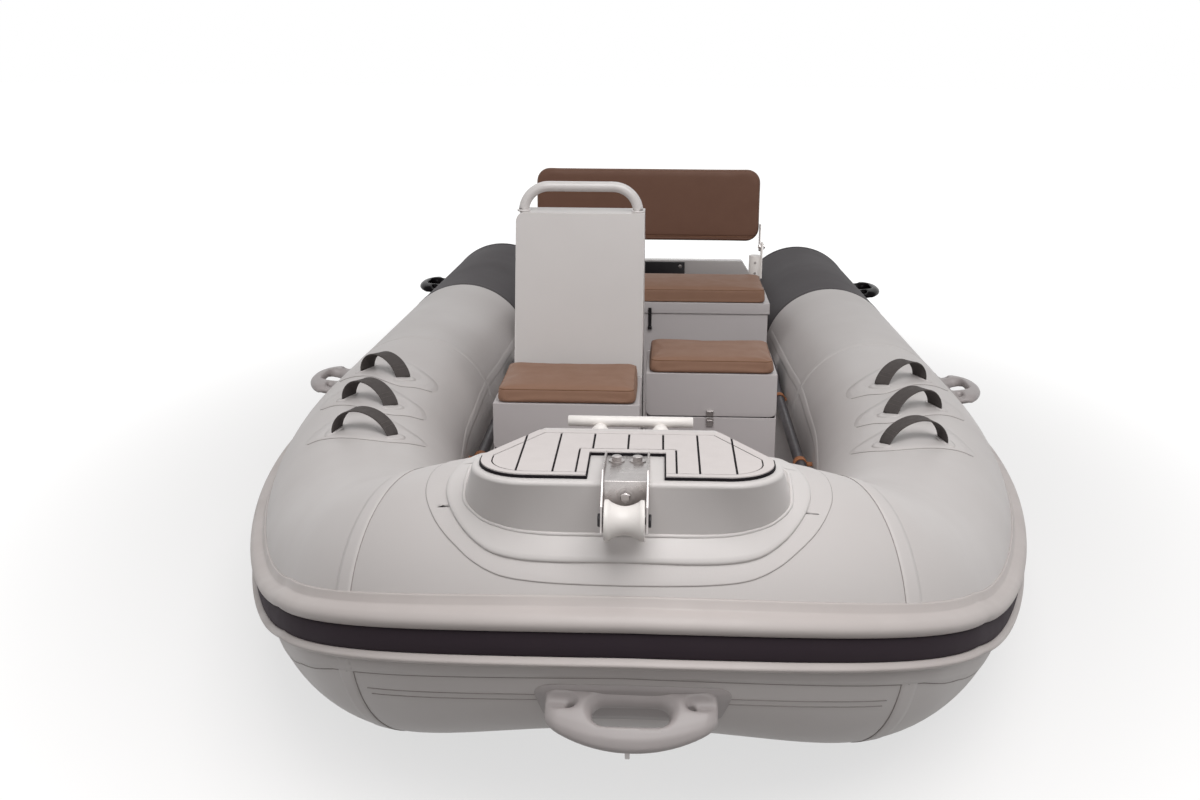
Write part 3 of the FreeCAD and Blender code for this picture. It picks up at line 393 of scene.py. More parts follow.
@dataclass(frozen=True)
class Finish:
    """One real material with its colour, gloss and fine relief.

    Lengths are in millimetres. The pattern's scale comes from the size of the real grain or thread.
    """

    name: str
    shade: str
    mottle: str
    mottle_mm: float = 120.0
    roughness: float = 0.5
    roughness_spread: float = 0.06
    metallic: float = 0.0
    relief: Relief = Relief.PLAIN
    relief_mm: float = 2.0
    relief_depth_mm: float = 0.05
    coat: float = 0.0
    sheen: float = 0.0
    uses_uv: bool = False
    specular: float = 0.35

    def build(self) -> bpy.types.Material:
        """Makes the material once and gives it again later."""
        found = bpy.data.materials.get(self.name)
        if found:
            return found
        made = bpy.data.materials.new(self.name)
        made.use_nodes = True
        tree = made.node_tree
        tree.nodes.clear()
        place = self.coordinates(tree)
        shader = add(tree, "ShaderNodeBsdfPrincipled",
                     values={"Metallic": self.metallic, "Coat Weight": self.coat, "Coat Roughness": 0.12,
                             "Sheen Weight": self.sheen, "Sheen Roughness": 0.45,
                             "Specular IOR Level": self.specular})
        self.paint(tree, place, shader)
        self.emboss(tree, place, shader)
        add(tree, "ShaderNodeOutputMaterial", links={"Surface": shader.outputs["BSDF"]})
        return made

    def coordinates(self, tree: Tree) -> Socket:
        """Gives places in millimetres, from the piece's own map or from the object."""
        if self.uses_uv:
            source = add(tree, "ShaderNodeUVMap", props={"uv_map": "skin"}).outputs["UV"]
        else:
            source = add(tree, "ShaderNodeTexCoord").outputs["Object"]
        return add(tree, "ShaderNodeVectorMath", props={"operation": "SCALE"}, values={"Scale": 1000.0},
                   links={0: source}).outputs[0]

    def paint(self, tree: Tree, place: Socket, shader: bpy.types.Node) -> None:
        """Varies the colour and the gloss a little, as handled material does."""
        cloud = add(tree, "ShaderNodeTexNoise", links={"Vector": place},
                    values={"Scale": 1.0 / self.mottle_mm, "Detail": 4.0, "Roughness": 0.55})
        blend = add(tree, "ShaderNodeMix", props={"data_type": "RGBA"},
                    values={6: linear(self.shade), 7: linear(self.mottle)}, links={0: cloud.outputs["Fac"]})
        tree.links.new(blend.outputs[2], shader.inputs["Base Color"])
        gloss = add(tree, "ShaderNodeMapRange", links={"Value": cloud.outputs["Fac"]},
                    values={"From Min": 0.3, "From Max": 0.7,
                            "To Min": self.roughness - self.roughness_spread,
                            "To Max": self.roughness + self.roughness_spread})
        tree.links.new(gloss.outputs["Result"], shader.inputs["Roughness"])

    def emboss(self, tree: Tree, place: Socket, shader: bpy.types.Node) -> None:
        """Adds the fine relief that the making leaves."""
        if self.relief is Relief.PLAIN:
            return
        fine = 1.0 / self.relief_mm
        if self.relief is Relief.ORANGE_PEEL:
            height = add(tree, "ShaderNodeTexNoise", values={"Scale": fine, "Detail": 2.0},
                         links={"Vector": place}).outputs["Fac"]
        elif self.relief is Relief.LEATHER:
            height = add(tree, "ShaderNodeTexVoronoi", props={"feature": "SMOOTH_F1"}, values={"Scale": fine},
                         links={"Vector": place}).outputs["Distance"]
        elif self.relief is Relief.SPECKLE:
            height = add(tree, "ShaderNodeTexVoronoi", values={"Scale": fine},
                         links={"Vector": place}).outputs["Distance"]
        elif self.relief is Relief.BRUSHED:
            drawn = add(tree, "ShaderNodeMapping", values={"Scale": (fine, fine * 0.02, fine)},
                        links={"Vector": place})
            height = add(tree, "ShaderNodeTexNoise", values={"Scale": 1.0, "Detail": 3.0},
                         links={"Vector": drawn.outputs["Vector"]}).outputs["Fac"]
        else:
            waves = [add(tree, "ShaderNodeTexWave", props={"bands_direction": axis}, links={"Vector": place},
                         values={"Scale": fine * 0.314, "Distortion": 0.0}).outputs["Fac"] for axis in "YX"]
            height = add(tree, "ShaderNodeMath", props={"operation": "MULTIPLY"},
                         links=dict(enumerate(waves))).outputs[0]
        bump = add(tree, "ShaderNodeBump", values={"Strength": 1.0, "Distance": self.relief_depth_mm * MM},
                   links={"Height": height})
        tree.links.new(bump.outputs["Normal"], shader.inputs["Normal"])


# Calendered coated fabric: polymer film on a base cloth, a soft satin with a faint thread print.
# The threads are about 0.8 mm apart and are drawn at 2.4 mm so that they show.
FABRIC_LIGHT = Finish("calendered_fabric_light_grey", "#C6C1BF", "#BFB9B7", 260.0, 0.46, 0.05,
                      relief=Relief.WEAVE, relief_mm=2.4, relief_depth_mm=0.03, uses_uv=True)
# The same cloth where a second layer is bonded on, a little lighter at its edge.
FABRIC_PATCH = Finish("bonded_fabric_patch_light_grey", "#C9C4C2", "#C2BCBA", 160.0, 0.48, 0.05,
                      relief=Relief.WEAVE, relief_mm=2.4, relief_depth_mm=0.03, uses_uv=True)
# The dark sections of the tube, the same cloth in charcoal.
FABRIC_DARK = Finish("calendered_fabric_charcoal", "#454143", "#4C484A", 220.0, 0.66, 0.05,
                     relief=Relief.WEAVE, relief_mm=2.4, relief_depth_mm=0.04, uses_uv=True, specular=0.15)
# Extruded rubber strake: smooth with faint draw lines along its length.
RUBBER_LIGHT = Finish("extruded_rubber_light_grey", "#BDB5B2", "#B4ACA9", 90.0, 0.50, 0.06,
                      relief=Relief.ORANGE_PEEL, relief_mm=6.0, relief_depth_mm=0.08)
RUBBER_DARK = Finish("extruded_rubber_dark_band", "#2F272D", "#383035", 60.0, 0.7, 0.05,
                     relief=Relief.ORANGE_PEEL, relief_mm=3.0, relief_depth_mm=0.1, specular=0.08)
# Moulded elastomer of the handles: matt, with a slight flow mottle.
RUBBER_MOULDED = Finish("moulded_elastomer_grey", "#9D9695", "#A49D9C", 40.0, 0.4, 0.05,
                        relief=Relief.ORANGE_PEEL, relief_mm=1.6, relief_depth_mm=0.04)
RUBBER_BLACK = Finish("moulded_elastomer_black_gloss", "#0C090B", "#131013", 30.0, 0.22, 0.04,
                      relief=Relief.ORANGE_PEEL, relief_mm=1.6, relief_depth_mm=0.03, specular=0.04)
# Powder coat on aluminium sheet: hard satin with a fine orange peel.
POWDER_GREY = Finish("powder_coat_grey_on_aluminium", "#B4AEAE", "#ADA7A7", 180.0, 0.4, 0.05,
                     relief=Relief.ORANGE_PEEL, relief_mm=1.8, relief_depth_mm=0.03)
POWDER_PALE = Finish("powder_coat_pale_on_aluminium", "#CCC7C5", "#C5C0BE", 150.0, 0.38, 0.05,
                     relief=Relief.ORANGE_PEEL, relief_mm=1.8, relief_depth_mm=0.03)
# Gloss powder coat on the bent tube of the grab rail.
POWDER_GLOSS = Finish("powder_coat_gloss_on_tube", "#D3CECC", "#CCC7C5", 60.0, 0.26, 0.04, coat=0.3)
# Gelcoat over glass fibre: deep gloss, very slight waviness.
GELCOAT = Finish("gelcoat_light_grey", "#BDB7B5", "#B6B0AE", 300.0, 0.22, 0.04,
                 relief=Relief.ORANGE_PEEL, relief_mm=30.0, relief_depth_mm=0.1, coat=0.4)
# Sprayed non-slip coat of the deck.
DECK_COAT = Finish("non_slip_deck_coat", "#A7A1A0", "#9E9897", 140.0, 0.62, 0.05,
                   relief=Relief.SPECKLE, relief_mm=2.2, relief_depth_mm=0.25)
# Brushed foam decking: closed cell foam, matt, with a short brushed grain.
FOAM_PALE = Finish("brushed_foam_decking_pale", "#CFC8C6", "#C7C0BE", 24.0, 0.72, 0.04,
                   relief=Relief.BRUSHED, relief_mm=1.2, relief_depth_mm=0.08)
CAULK_BLACK = Finish("foam_decking_black_core", "#141014", "#1C181B", 20.0, 0.7, 0.05,
                     relief=Relief.ORANGE_PEEL, relief_mm=1.0, relief_depth_mm=0.05, specular=0.1)
# Stainless sheet with a brushed face.
STAINLESS = Finish("brushed_stainless_sheet", "#BDB8B6", "#A9A4A3", 18.0, 0.3, 0.08, metallic=1.0,
                   relief=Relief.BRUSHED, relief_mm=0.8, relief_depth_mm=0.02)
STAINLESS_BRIGHT = Finish("polished_stainless_fasteners", "#B8B3B1", "#A9A4A3", 9.0, 0.36, 0.05, metallic=1.0)
# Injection moulded nylon, faintly translucent white.
NYLON_WHITE = Finish("moulded_nylon_white", "#E6E1DD", "#DED8D4", 30.0, 0.3, 0.05,
                     relief=Relief.ORANGE_PEEL, relief_mm=2.0, relief_depth_mm=0.02)
NYLON_BLACK = Finish("moulded_nylon_black", "#131013", "#1D191C", 12.0, 0.35, 0.05)
# Marine upholstery vinyl: embossed grain of about 1.2 mm, drawn a little coarser.
VINYL_BROWN = Finish("embossed_marine_vinyl_brown", "#8B6A58", "#836452", 45.0, 0.56, 0.05,
                     relief=Relief.LEATHER, relief_mm=2.0, relief_depth_mm=0.12, specular=0.2)
# The same vinyl on the backrest, painted darker as shade on its upright face.
VINYL_BROWN_SHADED = Finish("embossed_marine_vinyl_deep_brown", "#6E5042", "#674A3D", 45.0, 0.56, 0.05,
                    relief=Relief.LEATHER, relief_mm=2.0, relief_depth_mm=0.12, specular=0.2)
VINYL_SEAM = Finish("sewn_vinyl_piping_brown", "#79563F", "#6F4F3B", 20.0, 0.5, 0.05,
                    relief=Relief.LEATHER, relief_mm=1.6, relief_depth_mm=0.1, specular=0.2)
# Woven polyester webbing: 44 mm wide with ribs about 1.3 mm apart.
WEBBING = Finish("woven_polyester_webbing_grey", "#55504E", "#494443", 14.0, 0.72, 0.05,
                 relief=Relief.WEAVE, relief_mm=1.8, relief_depth_mm=0.25, uses_uv=True, specular=0.15)
# Polyester sewing thread of the straps.
STRAP_THREAD = Finish("polyester_sewing_thread", "#6B6562", "#5E5855", 6.0, 0.7, 0.05, specular=0.15)
# A thin darker grey bead round every bonded layer and along some seams: painted shade for the shadow line at
# each bonded edge, and the seams' dark line.
SEAM_LINE_AND_EDGE_SHADE = Finish("cement_line_at_bonded_edge", "#9A9391", "#908987", 40.0, 0.6, 0.05, specular=0.2)
STRAP_BROWN = Finish("woven_strap_brown", "#9A6440", "#875434", 12.0, 0.66, 0.05,
                     relief=Relief.ORANGE_PEEL, relief_mm=1.2, relief_depth_mm=0.2)
# Glass filled nylon of the oars and the wheel.
PLASTIC_DARK = Finish("glass_filled_nylon_dark", "#2B282C", "#353136", 40.0, 0.4, 0.06,
                      relief=Relief.ORANGE_PEEL, relief_mm=1.4, relief_depth_mm=0.05)


def dress(piece: Piece, finish: Finish, body: str = "boat", slot: Optional[str] = None,
          nodes: Sequence[str] = ()) -> Piece:
    """Gives a piece its finish and its body, and logs it.

    Args:
        piece: The piece to dress.
        finish: Its material.
        body: The body that it moves with.
        slot: The record's slot for its finish. It is not used.
        nodes: Solids of the frame that it stands for.

    Returns:
        The same object.
    """
    if finish.build().name not in [m.name for m in piece.data.materials if m]:
        piece.data.materials.clear()
        piece.data.materials.append(finish.build())
    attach(piece, body)
    if nodes:
        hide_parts(*nodes)
    log.info("%s: %d faces on %s", piece.name, len(piece.data.polygons), body)
    return piece


def repaint(node: str, finish: Finish) -> None:
    """Gives a solid of the frame a better material."""
    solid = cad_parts[node]
    solid.data.materials.clear()
    solid.data.materials.append(finish.build())


# Things that repeat or follow a path, made with Geometry Nodes

class Maker:
    """A Geometry Nodes tree with named inputs, which makes a piece from a bare mesh."""

    def __init__(self, name: str, inputs: Dict[str, str]) -> None:
        """Opens the tree.

        Args:
            name: The tree's name.
            inputs: Kind of every input by its label, with a material called Finish.
        """
        self.tree = bpy.data.node_groups.new(name, "GeometryNodeTree")
        face = self.tree.interface
        face.new_socket("Geometry", in_out="INPUT", socket_type="NodeSocketGeometry")
        self.sockets: Dict[str, str] = {}
        for label, kind in inputs.items():
            made = face.new_socket(label, in_out="INPUT", socket_type="NodeSocket" + kind)
            self.sockets[label] = made.identifier
        face.new_socket("Geometry", in_out="OUTPUT", socket_type="NodeSocketGeometry")
        self.given = add(self.tree, "NodeGroupInput").outputs

    def close(self, shape: Socket) -> None:
        """Ends the tree: copies become real and take the finish."""
        real = add(self.tree, "GeometryNodeRealizeInstances", links={"Geometry": shape})
        done = add(self.tree, "GeometryNodeSetMaterial",
                   links={"Geometry": real.outputs["Geometry"], "Material": self.given["Finish"]})
        add(self.tree, "NodeGroupOutput", links={"Geometry": done.outputs["Geometry"]})

    def run(self, name: str, mesh: bpy.types.Mesh, values: Dict[str, object]) -> Piece:
        """Runs the tree on a mesh with a value for every input, and gives a plain mesh."""
        piece = placed(name, mesh)
        maker = piece.modifiers.new("maker", "NODES")
        maker.node_group = self.tree
        for label, value in values.items():
            maker[self.sockets[label]] = value
        return settled(piece)


class PathTube(Maker):
    """Round bar or bead that follows a path."""

    def __init__(self) -> None:
        """Builds the tree, which sweeps a circle along the path and moves its skin by a noise."""
        super().__init__("bar_on_a_path", {"Radius": "Float", "Sides": "Int", "Ripple": "Float",
                                           "Ripple Scale": "Float", "Finish": "Material"})
        tree, given = self.tree, self.given
        line = add(tree, "GeometryNodeMeshToCurve", links={"Mesh": given["Geometry"]})
        ring = add(tree, "GeometryNodeCurvePrimitiveCircle",
                   links={"Resolution": given["Sides"], "Radius": given["Radius"]})
        skin = add(tree, "GeometryNodeCurveToMesh", values={"Fill Caps": True},
                   links={"Curve": line.outputs["Curve"], "Profile Curve": ring.outputs["Curve"]})
        noise = add(tree, "ShaderNodeTexNoise", values={"Detail": 2.0},
                    links={"Scale": given["Ripple Scale"]})
        lift = add(tree, "ShaderNodeMath", props={"operation": "SUBTRACT"}, values={1: 0.5},
                   links={0: noise.outputs["Fac"]})
        depth = add(tree, "ShaderNodeMath", props={"operation": "MULTIPLY"},
                    links={0: lift.outputs[0], 1: given["Ripple"]})
        normal = add(tree, "GeometryNodeInputNormal")
        push = add(tree, "ShaderNodeVectorMath", props={"operation": "SCALE"},
                   links={0: normal.outputs["Normal"], "Scale": depth.outputs[0]})
        moved = add(tree, "GeometryNodeSetPosition",
                    links={"Geometry": skin.outputs["Mesh"], "Offset": push.outputs[0]})
        smooth = add(tree, "GeometryNodeSetShadeSmooth", links={0: moved.outputs["Geometry"]})
        self.close(smooth.outputs[0])

    def along(self, name: str, points: Sequence[Sequence[float]], radius: float, finish: Finish,
              closed: bool = False, sides: int = 16, ripple: float = 0.0) -> Piece:
        """Lays the bar along a path.

        Args:
            name: The piece's name.
            points: The path's points in the row frame.
            radius: Radius of the bar in metres.
            finish: Its material.
            closed: Whether the path closes on itself.
            sides: How many sides the bar has.
            ripple: Height of the waves on its skin in metres, as a weld bead has.

        Returns:
            The piece as a plain mesh.
        """
        mesh = bpy.data.meshes.new(name)
        edges = [(i, i + 1) for i in range(len(points) - 1)]
        if closed:
            edges.append((len(points) - 1, 0))
        mesh.from_pydata([tuple(p) for p in points], edges, [])
        return self.run(name, mesh, {"Radius": radius, "Sides": sides, "Ripple": ripple,
                                     "Ripple Scale": 200.0, "Finish": finish.build()})


class Repeater(Maker):
    """Copies of one small shape at many places."""

    def __init__(self) -> None:
        """Builds the tree, which turns each copy by the lean that its point carries."""
        super().__init__("copies_at_places", {"Shape": "Object", "Finish": "Material"})
        tree, given = self.tree, self.given
        shape = add(tree, "GeometryNodeObjectInfo", values={"As Instance": True},
                    links={"Object": given["Shape"]})
        lean = add(tree, "GeometryNodeInputNamedAttribute", props={"data_type": "FLOAT_VECTOR"},
                   values={"Name": "lean"})
        turn = add(tree, "FunctionNodeEulerToRotation", links={0: lean.outputs[0]})
        copies = add(tree, "GeometryNodeInstanceOnPoints",
                     links={"Points": given["Geometry"], "Instance": shape.outputs["Geometry"],
                            "Rotation": turn.outputs[0]})
        self.close(copies.outputs["Instances"])

    def at(self, name: str, shape: Piece, places: Sequence[Tuple[Vector, Matrix]], finish: Finish) -> Piece:
        """Puts a copy of the shape at each place.

        Args:
            name: The piece's name.
            shape: The shape, drawn at the origin with its own up along Z. It's removed afterwards.
            places: Where each copy goes and how it's turned.
            finish: Its material.

        Returns:
            All copies as one plain mesh.
        """
        mesh = bpy.data.meshes.new(name)
        mesh.from_pydata([tuple(p) for p, _ in places], [], [])
        lean = mesh.attributes.new("lean", "FLOAT_VECTOR", "POINT")
        for i, (_, turn) in enumerate(places):
            lean.data[i].vector = turn.to_euler()
        piece = self.run(name, mesh, {"Shape": shape, "Finish": finish.build()})
        bpy.data.objects.remove(shape)
        return piece


# The air tube's own coordinates

class TubeLine:
    """Centreline and skin of the air tube, by arc length from the bow's middle and angle from outside."""

    def __init__(self) -> None:
        """Sets the radii and the plan's arcs, in metres."""
        self.bow_y = -1.780
        self.axis_z = 0.200
        self.arcs = ((0.842, math.radians(3.0)), (0.366, math.radians(61.0)), (2.685, math.radians(27.4)))
        self.full_radius = 0.210
        self.bow_radius = 0.205
        self.rise = 0.212
        self.rise_length = 1.119
        self.rise_power = 3.9

    def plan(self, s: float) -> Tuple[float, float, float]:
        """Gives x, distance behind the bow and heading of the port half."""
        x = y = heading = 0.0
        left = s
        for radius, turn in self.arcs:
            step = min(left, radius * turn)
            end = heading + step / radius
            x += radius * (math.sin(end) - math.sin(heading))
            y += radius * (math.cos(heading) - math.cos(end))
            heading = end
            left -= step
        return x + left * math.cos(heading), y + left * math.sin(heading), heading

    def axis(self, s: float) -> Vector:
        """Gives the point of the centreline at arc length s, negative to starboard."""
        x, y, _ = self.plan(abs(s))
        lift = self.rise * max(0.0, (self.rise_length - y) / self.rise_length) ** self.rise_power
        return Vector((math.copysign(x, s), self.bow_y + y, self.axis_z + lift))

    def section(self, s: float) -> Tuple[Vector, Vector, Vector, Vector]:
        """Gives the centre, the outward, the upward and the lengthwise direction of a section."""
        heading = self.plan(abs(s))[2]
        out = Vector((math.copysign(1.0, s) * math.sin(heading), -math.cos(heading), 0.0))
        along = (self.axis(s + MM) - self.axis(s - MM)).normalized()
        up = out.cross(along).normalized()
        if up.z < 0:
            up = -up
        return self.axis(s), out, up, along

    def radius(self, s: float) -> float:
        """Gives the tube's radius, which is a little less in the middle of the bow."""
        share = min(1.0, abs(s) / (self.arcs[1][0] * self.arcs[1][1]))
        return self.bow_radius + (self.full_radius - self.bow_radius) * share

    def skin(self, s: float, angle: float, off: float = 0.0) -> Vector:
        """Gives a point of the skin, off metres outside it, with the angle in degrees."""
        at, out, up, _ = self.section(s)
        a = math.radians(angle)
        return at + (out * math.cos(a) + up * math.sin(a)) * (self.radius(s) + off)

    def place(self, s: float, x: float, z: float) -> Vector:
        """Gives a point of a section by its distances outward and upward from the axis."""
        at, out, up, _ = self.section(s)
        return at + out * x + up * z

    def ring(self, s: float, r: float) -> List[Vector]:
        """Gives the points of a circle round the axis in the section at s."""
        at, out, up, _ = self.section(s)
        return [at + (out * math.cos(a) + up * math.sin(a)) * r for a in circle(RING)]

    def flat(self, s: float, angle: float) -> Flat:
        """Gives the place of a point of the skin on the cloth's map."""
        return s, math.radians(angle) * self.full_radius

    def away(self, s: float, angle: float) -> Vector:
        """Gives a vector that points away from the skin."""
        return self.skin(s, angle, 0.05) - self.skin(s, angle)

    def crown(self, x: float, y: float) -> float:
        """Gives the height of the tube's skin above a point of the plan."""
        def gap(s: float) -> float:
            """Distance in plan from the point to the centreline at s."""
            at = self.axis(s)
            return math.hypot(at.x - x, at.y - y)

        low, high = -1.2, 1.2
        for _ in range(60):
            a = low + (high - low) / 3
            b = high - (high - low) / 3
            if gap(a) < gap(b):
                high = b
            else:
                low = a
        s = (low + high) / 2
        side = min(gap(s), self.radius(s) * 0.999)
        return self.axis(s).z + math.sqrt(self.radius(s) ** 2 - side ** 2)


TUBE = TubeLine()
PATHS = PathTube()
COPIES = Repeater()


def skinned(name: str, marks: Sequence[float], radius: Callable[[float], float], caps: bool = False) -> Piece:
    """Makes a length of tube as a fine grid with a map in metres along and round it.

    Args:
        name: The piece's name.
        marks: Arc lengths of its sections.
        radius: Radius by arc length.
        caps: Whether its ends are filled. They stay off the map.

    Returns:
        The tube length.
    """
    piece = loft(name, [TUBE.ring(s, radius(s)) for s in marks], caps)
    layer = piece.data.uv_layers.new(name="skin")
    cell = 2 * math.pi * TUBE.full_radius / RING
    for face in piece.data.polygons:
        if len(face.vertices) > 4:
            continue
        closing = any(v % RING == RING - 1 for v in face.vertices)
        for index in face.loop_indices:
            i, j = divmod(piece.data.loops[index].vertex_index, RING)
            layer.data[index].uv = (marks[i], (RING if closing and j == 0 else j) * cell)
    return piece


def patch(name: str, edge: Callable[[float, float], Flat], across: int, along: int, thick: float,
          slope: float = 0.03, closed: bool = False) -> Piece:
    """Lays a thin bonded layer on the tube's skin.

    Args:
        name: The piece's name.
        edge: Gives arc length and angle for two shares from 0 to 1 across and along the layer.
        across: Cells across it.
        along: Cells along it.
        thick: Its thickness in metres.
        slope: Share of its width that its edge falls away over.
        closed: Whether it closes on itself lengthwise, as a ring round the tube does.

    Returns:
        The layer, sunk a little at its border.
    """
    def shares(count: int) -> List[float]:
        """Spreads places from border to border, with one close to each border."""
        return [0.0] + [slope + (1 - 2 * slope) * i / count for i in range(count + 1)] + [1.0]

    us = shares(across)
    vs = [i / along for i in range(along)] if closed else shares(along)
    points, flats = [], []
    for v in vs:
        for u in us:
            s, angle = edge(u, v)
            border = u in (0.0, 1.0) or (not closed and v in (0.0, 1.0))
            points.append(TUBE.skin(s, angle, SUNK if border else thick))
            flats.append(TUBE.flat(s, angle))
    wide, rows = len(us), len(vs)
    faces = []
    for i in range(rows if closed else rows - 1):
        k = (i + 1) % rows
        faces += [[i * wide + j, i * wide + j + 1, k * wide + j + 1, k * wide + j] for j in range(wide - 1)]
    piece = mesh_piece(name, points, faces)
    mapped(piece, flats)
    return facing(piece, len(faces) // 2, TUBE.away(*edge(0.5, 0.5)))


def traced(table: Sequence[Flat], share: float) -> Flat:
    """Reads a smooth line through evenly spread points, at a share from 0 to 1 of the way."""
    k = min(share, 0.99999) * (len(table) - 1)
    n = int(k)
    f = k - n
    rows = zip(table[max(n - 1, 0)], table[n], table[n + 1], table[min(n + 2, len(table) - 1)])
    x, y = [0.5 * (2 * a + (b - z) * f + (2 * z - 5 * a + 4 * b - c) * f * f
                   + (3 * a - z - 3 * b + c) * f ** 3) for z, a, b, c in rows]
    return x, y


def seam_shade_line(name: str, track: Sequence[Flat], closed: bool = False, radius: float = 0.0006) -> Piece:
    """Draws a thin darker bead along points given by arc length and angle, as painted shade along a bonded
    edge and as a seam's dark line.
    """
    path = [TUBE.skin(s, angle, 0.0004) for s, angle in track]
    return dress(PATHS.along(name, path, radius, SEAM_LINE_AND_EDGE_SHADE, closed, 6), SEAM_LINE_AND_EDGE_SHADE, slot="tube_light")


def bonded(name: str, middle: Flat, border: Sequence[Flat], thick: float, side: int) -> Piece:
    """Bonds a flat layer of cloth on the tube inside a closed border round its middle.

    Args:
        name: The layer's name.
        middle: Arc length and angle of its middle.
        border: Arc length and angle of the points of its border.
        thick: Its thickness in metres.
        side: 1 to port and -1 to starboard.

    Returns:
        The layer, sunk a little at its border.
    """
    places, lifts = [middle], [thick]
    for share, lift in ((0.35, thick), (0.7, thick), (0.985, thick), (1.0, SUNK)):
        places += [tuple(m + (b - m) * share for m, b in zip(middle, point)) for point in border]
        lifts += [lift] * len(border)
    count = len(border)
    faces = [[0, 1 + j, 1 + (j + 1) % count] for j in range(count)]
    for i in range(3):
        inner, outer = 1 + i * count, 1 + (i + 1) * count
        for j in range(count):
            k = (j + 1) % count
            faces.append([inner + j, outer + j, outer + k, inner + k])
    points = [TUBE.skin(side * s, angle, lift) for (s, angle), lift in zip(places, lifts)]
    piece = mesh_piece(name, points, faces)
    mapped(piece, [TUBE.flat(*place) for place in places])
    facing(piece, 0, TUBE.away(side * middle[0], middle[1]))
    return dress(piece, FABRIC_PATCH, slot="tube_light")


def spread(start: float, end: float, step: float) -> List[float]:
    """Spreads places evenly between two values, about a step apart."""
    count = max(2, round(abs(end - start) / step))
    return [start + (end - start) * i / count for i in range(count + 1)]


@dataclass
class Collar:
    """The air tube with its seams, tapes and rubbing strakes.

    Places along the tube are arc lengths from the bow's middle. All lengths are in metres.
    """

    seam_bow: float = 0.312
    seam_dark: float = 2.841
    straight_end: float = 3.777
    cone_length: float = 0.270
    cone_tip: float = 0.078
    nose_round: float = 0.045
    nose_length: float = 0.05
    tape_width: float = 0.036
    tape_thick: float = 0.0005
    strake_end: float = 3.700
    # Length over which the strakes die away at their ends
    strake_fade: float = 0.05
    # Where the bow's curves are over, and how far sections stand apart before it
    curves_end: float = 1.3
    fine: float = 0.014
    # Two points in plan of the upright plane of the corner seam
    mitre_a: Flat = (0.406, -1.845)
    mitre_b: Flat = (0.341, -1.637)

    def build(self) -> List[Piece]:
        """Builds every piece of the collar."""
        return self.chambers() + self.seams() + self.strakes()

    def aft_radius(self, s: float) -> float:
        """Radius of the dark section, which ends in a blunt cone with a round nose."""
        past = s - self.straight_end
        if past <= 0:
            return TUBE.full_radius
        fall = TUBE.full_radius - self.cone_tip
        slope = math.atan2(fall, self.cone_length)
        straight = TUBE.full_radius - past * fall / self.cone_length
        depth = past - (self.cone_length - self.nose_round)
        if depth > self.nose_round * math.sin(slope):
            inside = max(0.0, self.nose_round ** 2 - depth ** 2)
            return min(straight, self.cone_tip - self.nose_round * math.cos(slope) + math.sqrt(inside))
        return straight

    def chambers(self) -> List[Piece]:
        """Makes the bow, the two light sides and the two dark after sections."""
        bow = skinned("tube_skin_bow", spread(-self.seam_bow, self.seam_bow, 0.012), TUBE.radius)
        made = [dress(bow, FABRIC_LIGHT, slot="tube_light", nodes=("tube_bow",))]
        light = spread(self.seam_bow, self.curves_end, self.fine)
        light += spread(self.curves_end, self.seam_dark, 0.03)[1:]
        tip = self.straight_end + self.cone_length
        dark = spread(self.seam_dark, self.straight_end, 0.05)
        dark += spread(self.straight_end, tip - self.nose_length, 0.02)[1:]
        dark += [tip - self.nose_length * (1 - math.sin(math.pi / 2 * i / 12)) for i in range(1, 13)]
        for side, label in SIDES:
            for part, marks, radius, finish, slot in (
                    ("", light, TUBE.radius, FABRIC_LIGHT, "tube_light"),
                    ("aft_", dark, lambda s: self.aft_radius(abs(s)), FABRIC_DARK, "tube_dark")):
                skin = skinned("tube_skin_" + part + label, [side * s for s in marks], radius, bool(part))
                made.append(dress(skin, finish, slot=slot, nodes=("tube_" + part + label,)))
        return made

    def mitre(self, angle: float, shift: float) -> float:
        """Finds where the bow seam's upright plane, moved aft by shift, meets the skin at an angle."""
        ax, ay = self.mitre_a
        bx, by = self.mitre_b
        length = math.hypot(bx - ax, by - ay)
        nx, ny = (by - ay) / length, -(bx - ax) / length
        low, high = 0.12, 0.75
        for _ in range(40):
            mid = (low + high) / 2
            at = TUBE.skin(mid, angle)
            if (at.x - ax) * nx + (at.y - ay) * ny < shift:
                low = mid
            else:
                high = mid
        return (low + high) / 2

    def seams(self) -> List[Piece]:
        """Makes the tapes over the seams between chambers and along the tube."""
        made = []
        for side, label in SIDES:
            def corner(u: float, v: float, side: int = side) -> Flat:
                """Place on the tape over the corner seam."""
                angle = 360.0 * v - 180.0
                return side * self.mitre(angle, u * self.tape_width), angle

            def ring(at: float, width: float, side: int = side) -> Callable[[float, float], Flat]:
                """Place on a tape square across the tube."""
                return lambda u, v: (side * (at + (u - 0.5) * width), 360.0 * v - 180.0)

            for name, edge, thick, finish, slot in (
                    ("bow_seam_tape_", corner, 0.0011, FABRIC_PATCH, "tube_light"),
                    ("cross_seam_tape_", ring(2.02, 0.03), 0.0006, FABRIC_PATCH, "tube_light"),
                    ("colour_seam_tape_", ring(2.862, 0.04), 0.0009, FABRIC_DARK, "tube_dark")):
                made.append(dress(patch(name + label, edge, 4, 120, thick, 0.04, True), finish, slot=slot))
            made.append(dress(self.cone_tape("cone_seam_tape_" + label, side), FABRIC_DARK, slot="tube_dark"))
            inner = self.inner_tape("inner_seam_tape_" + label, side)
            made.append(dress(inner, FABRIC_PATCH, slot="tube_light"))
            # A darker bead along the fore edge of the bow seam's tape: painted shade at that edge.
            line = [corner(0.0, i / 90.0) for i in range(90)]
            made.append(seam_shade_line("bow_seam_line_" + label, line, True, 0.0007))
        # Two seam lines under the bow, drawn with the same darker bead, whose colour paints their shade.
        for angle in (-24.5, -27.6):
            line = [(-0.3 + 0.02 * i, angle) for i in range(31)]
            made.append(seam_shade_line("under_bow_seam_%d" % round(-angle), line))
        return made

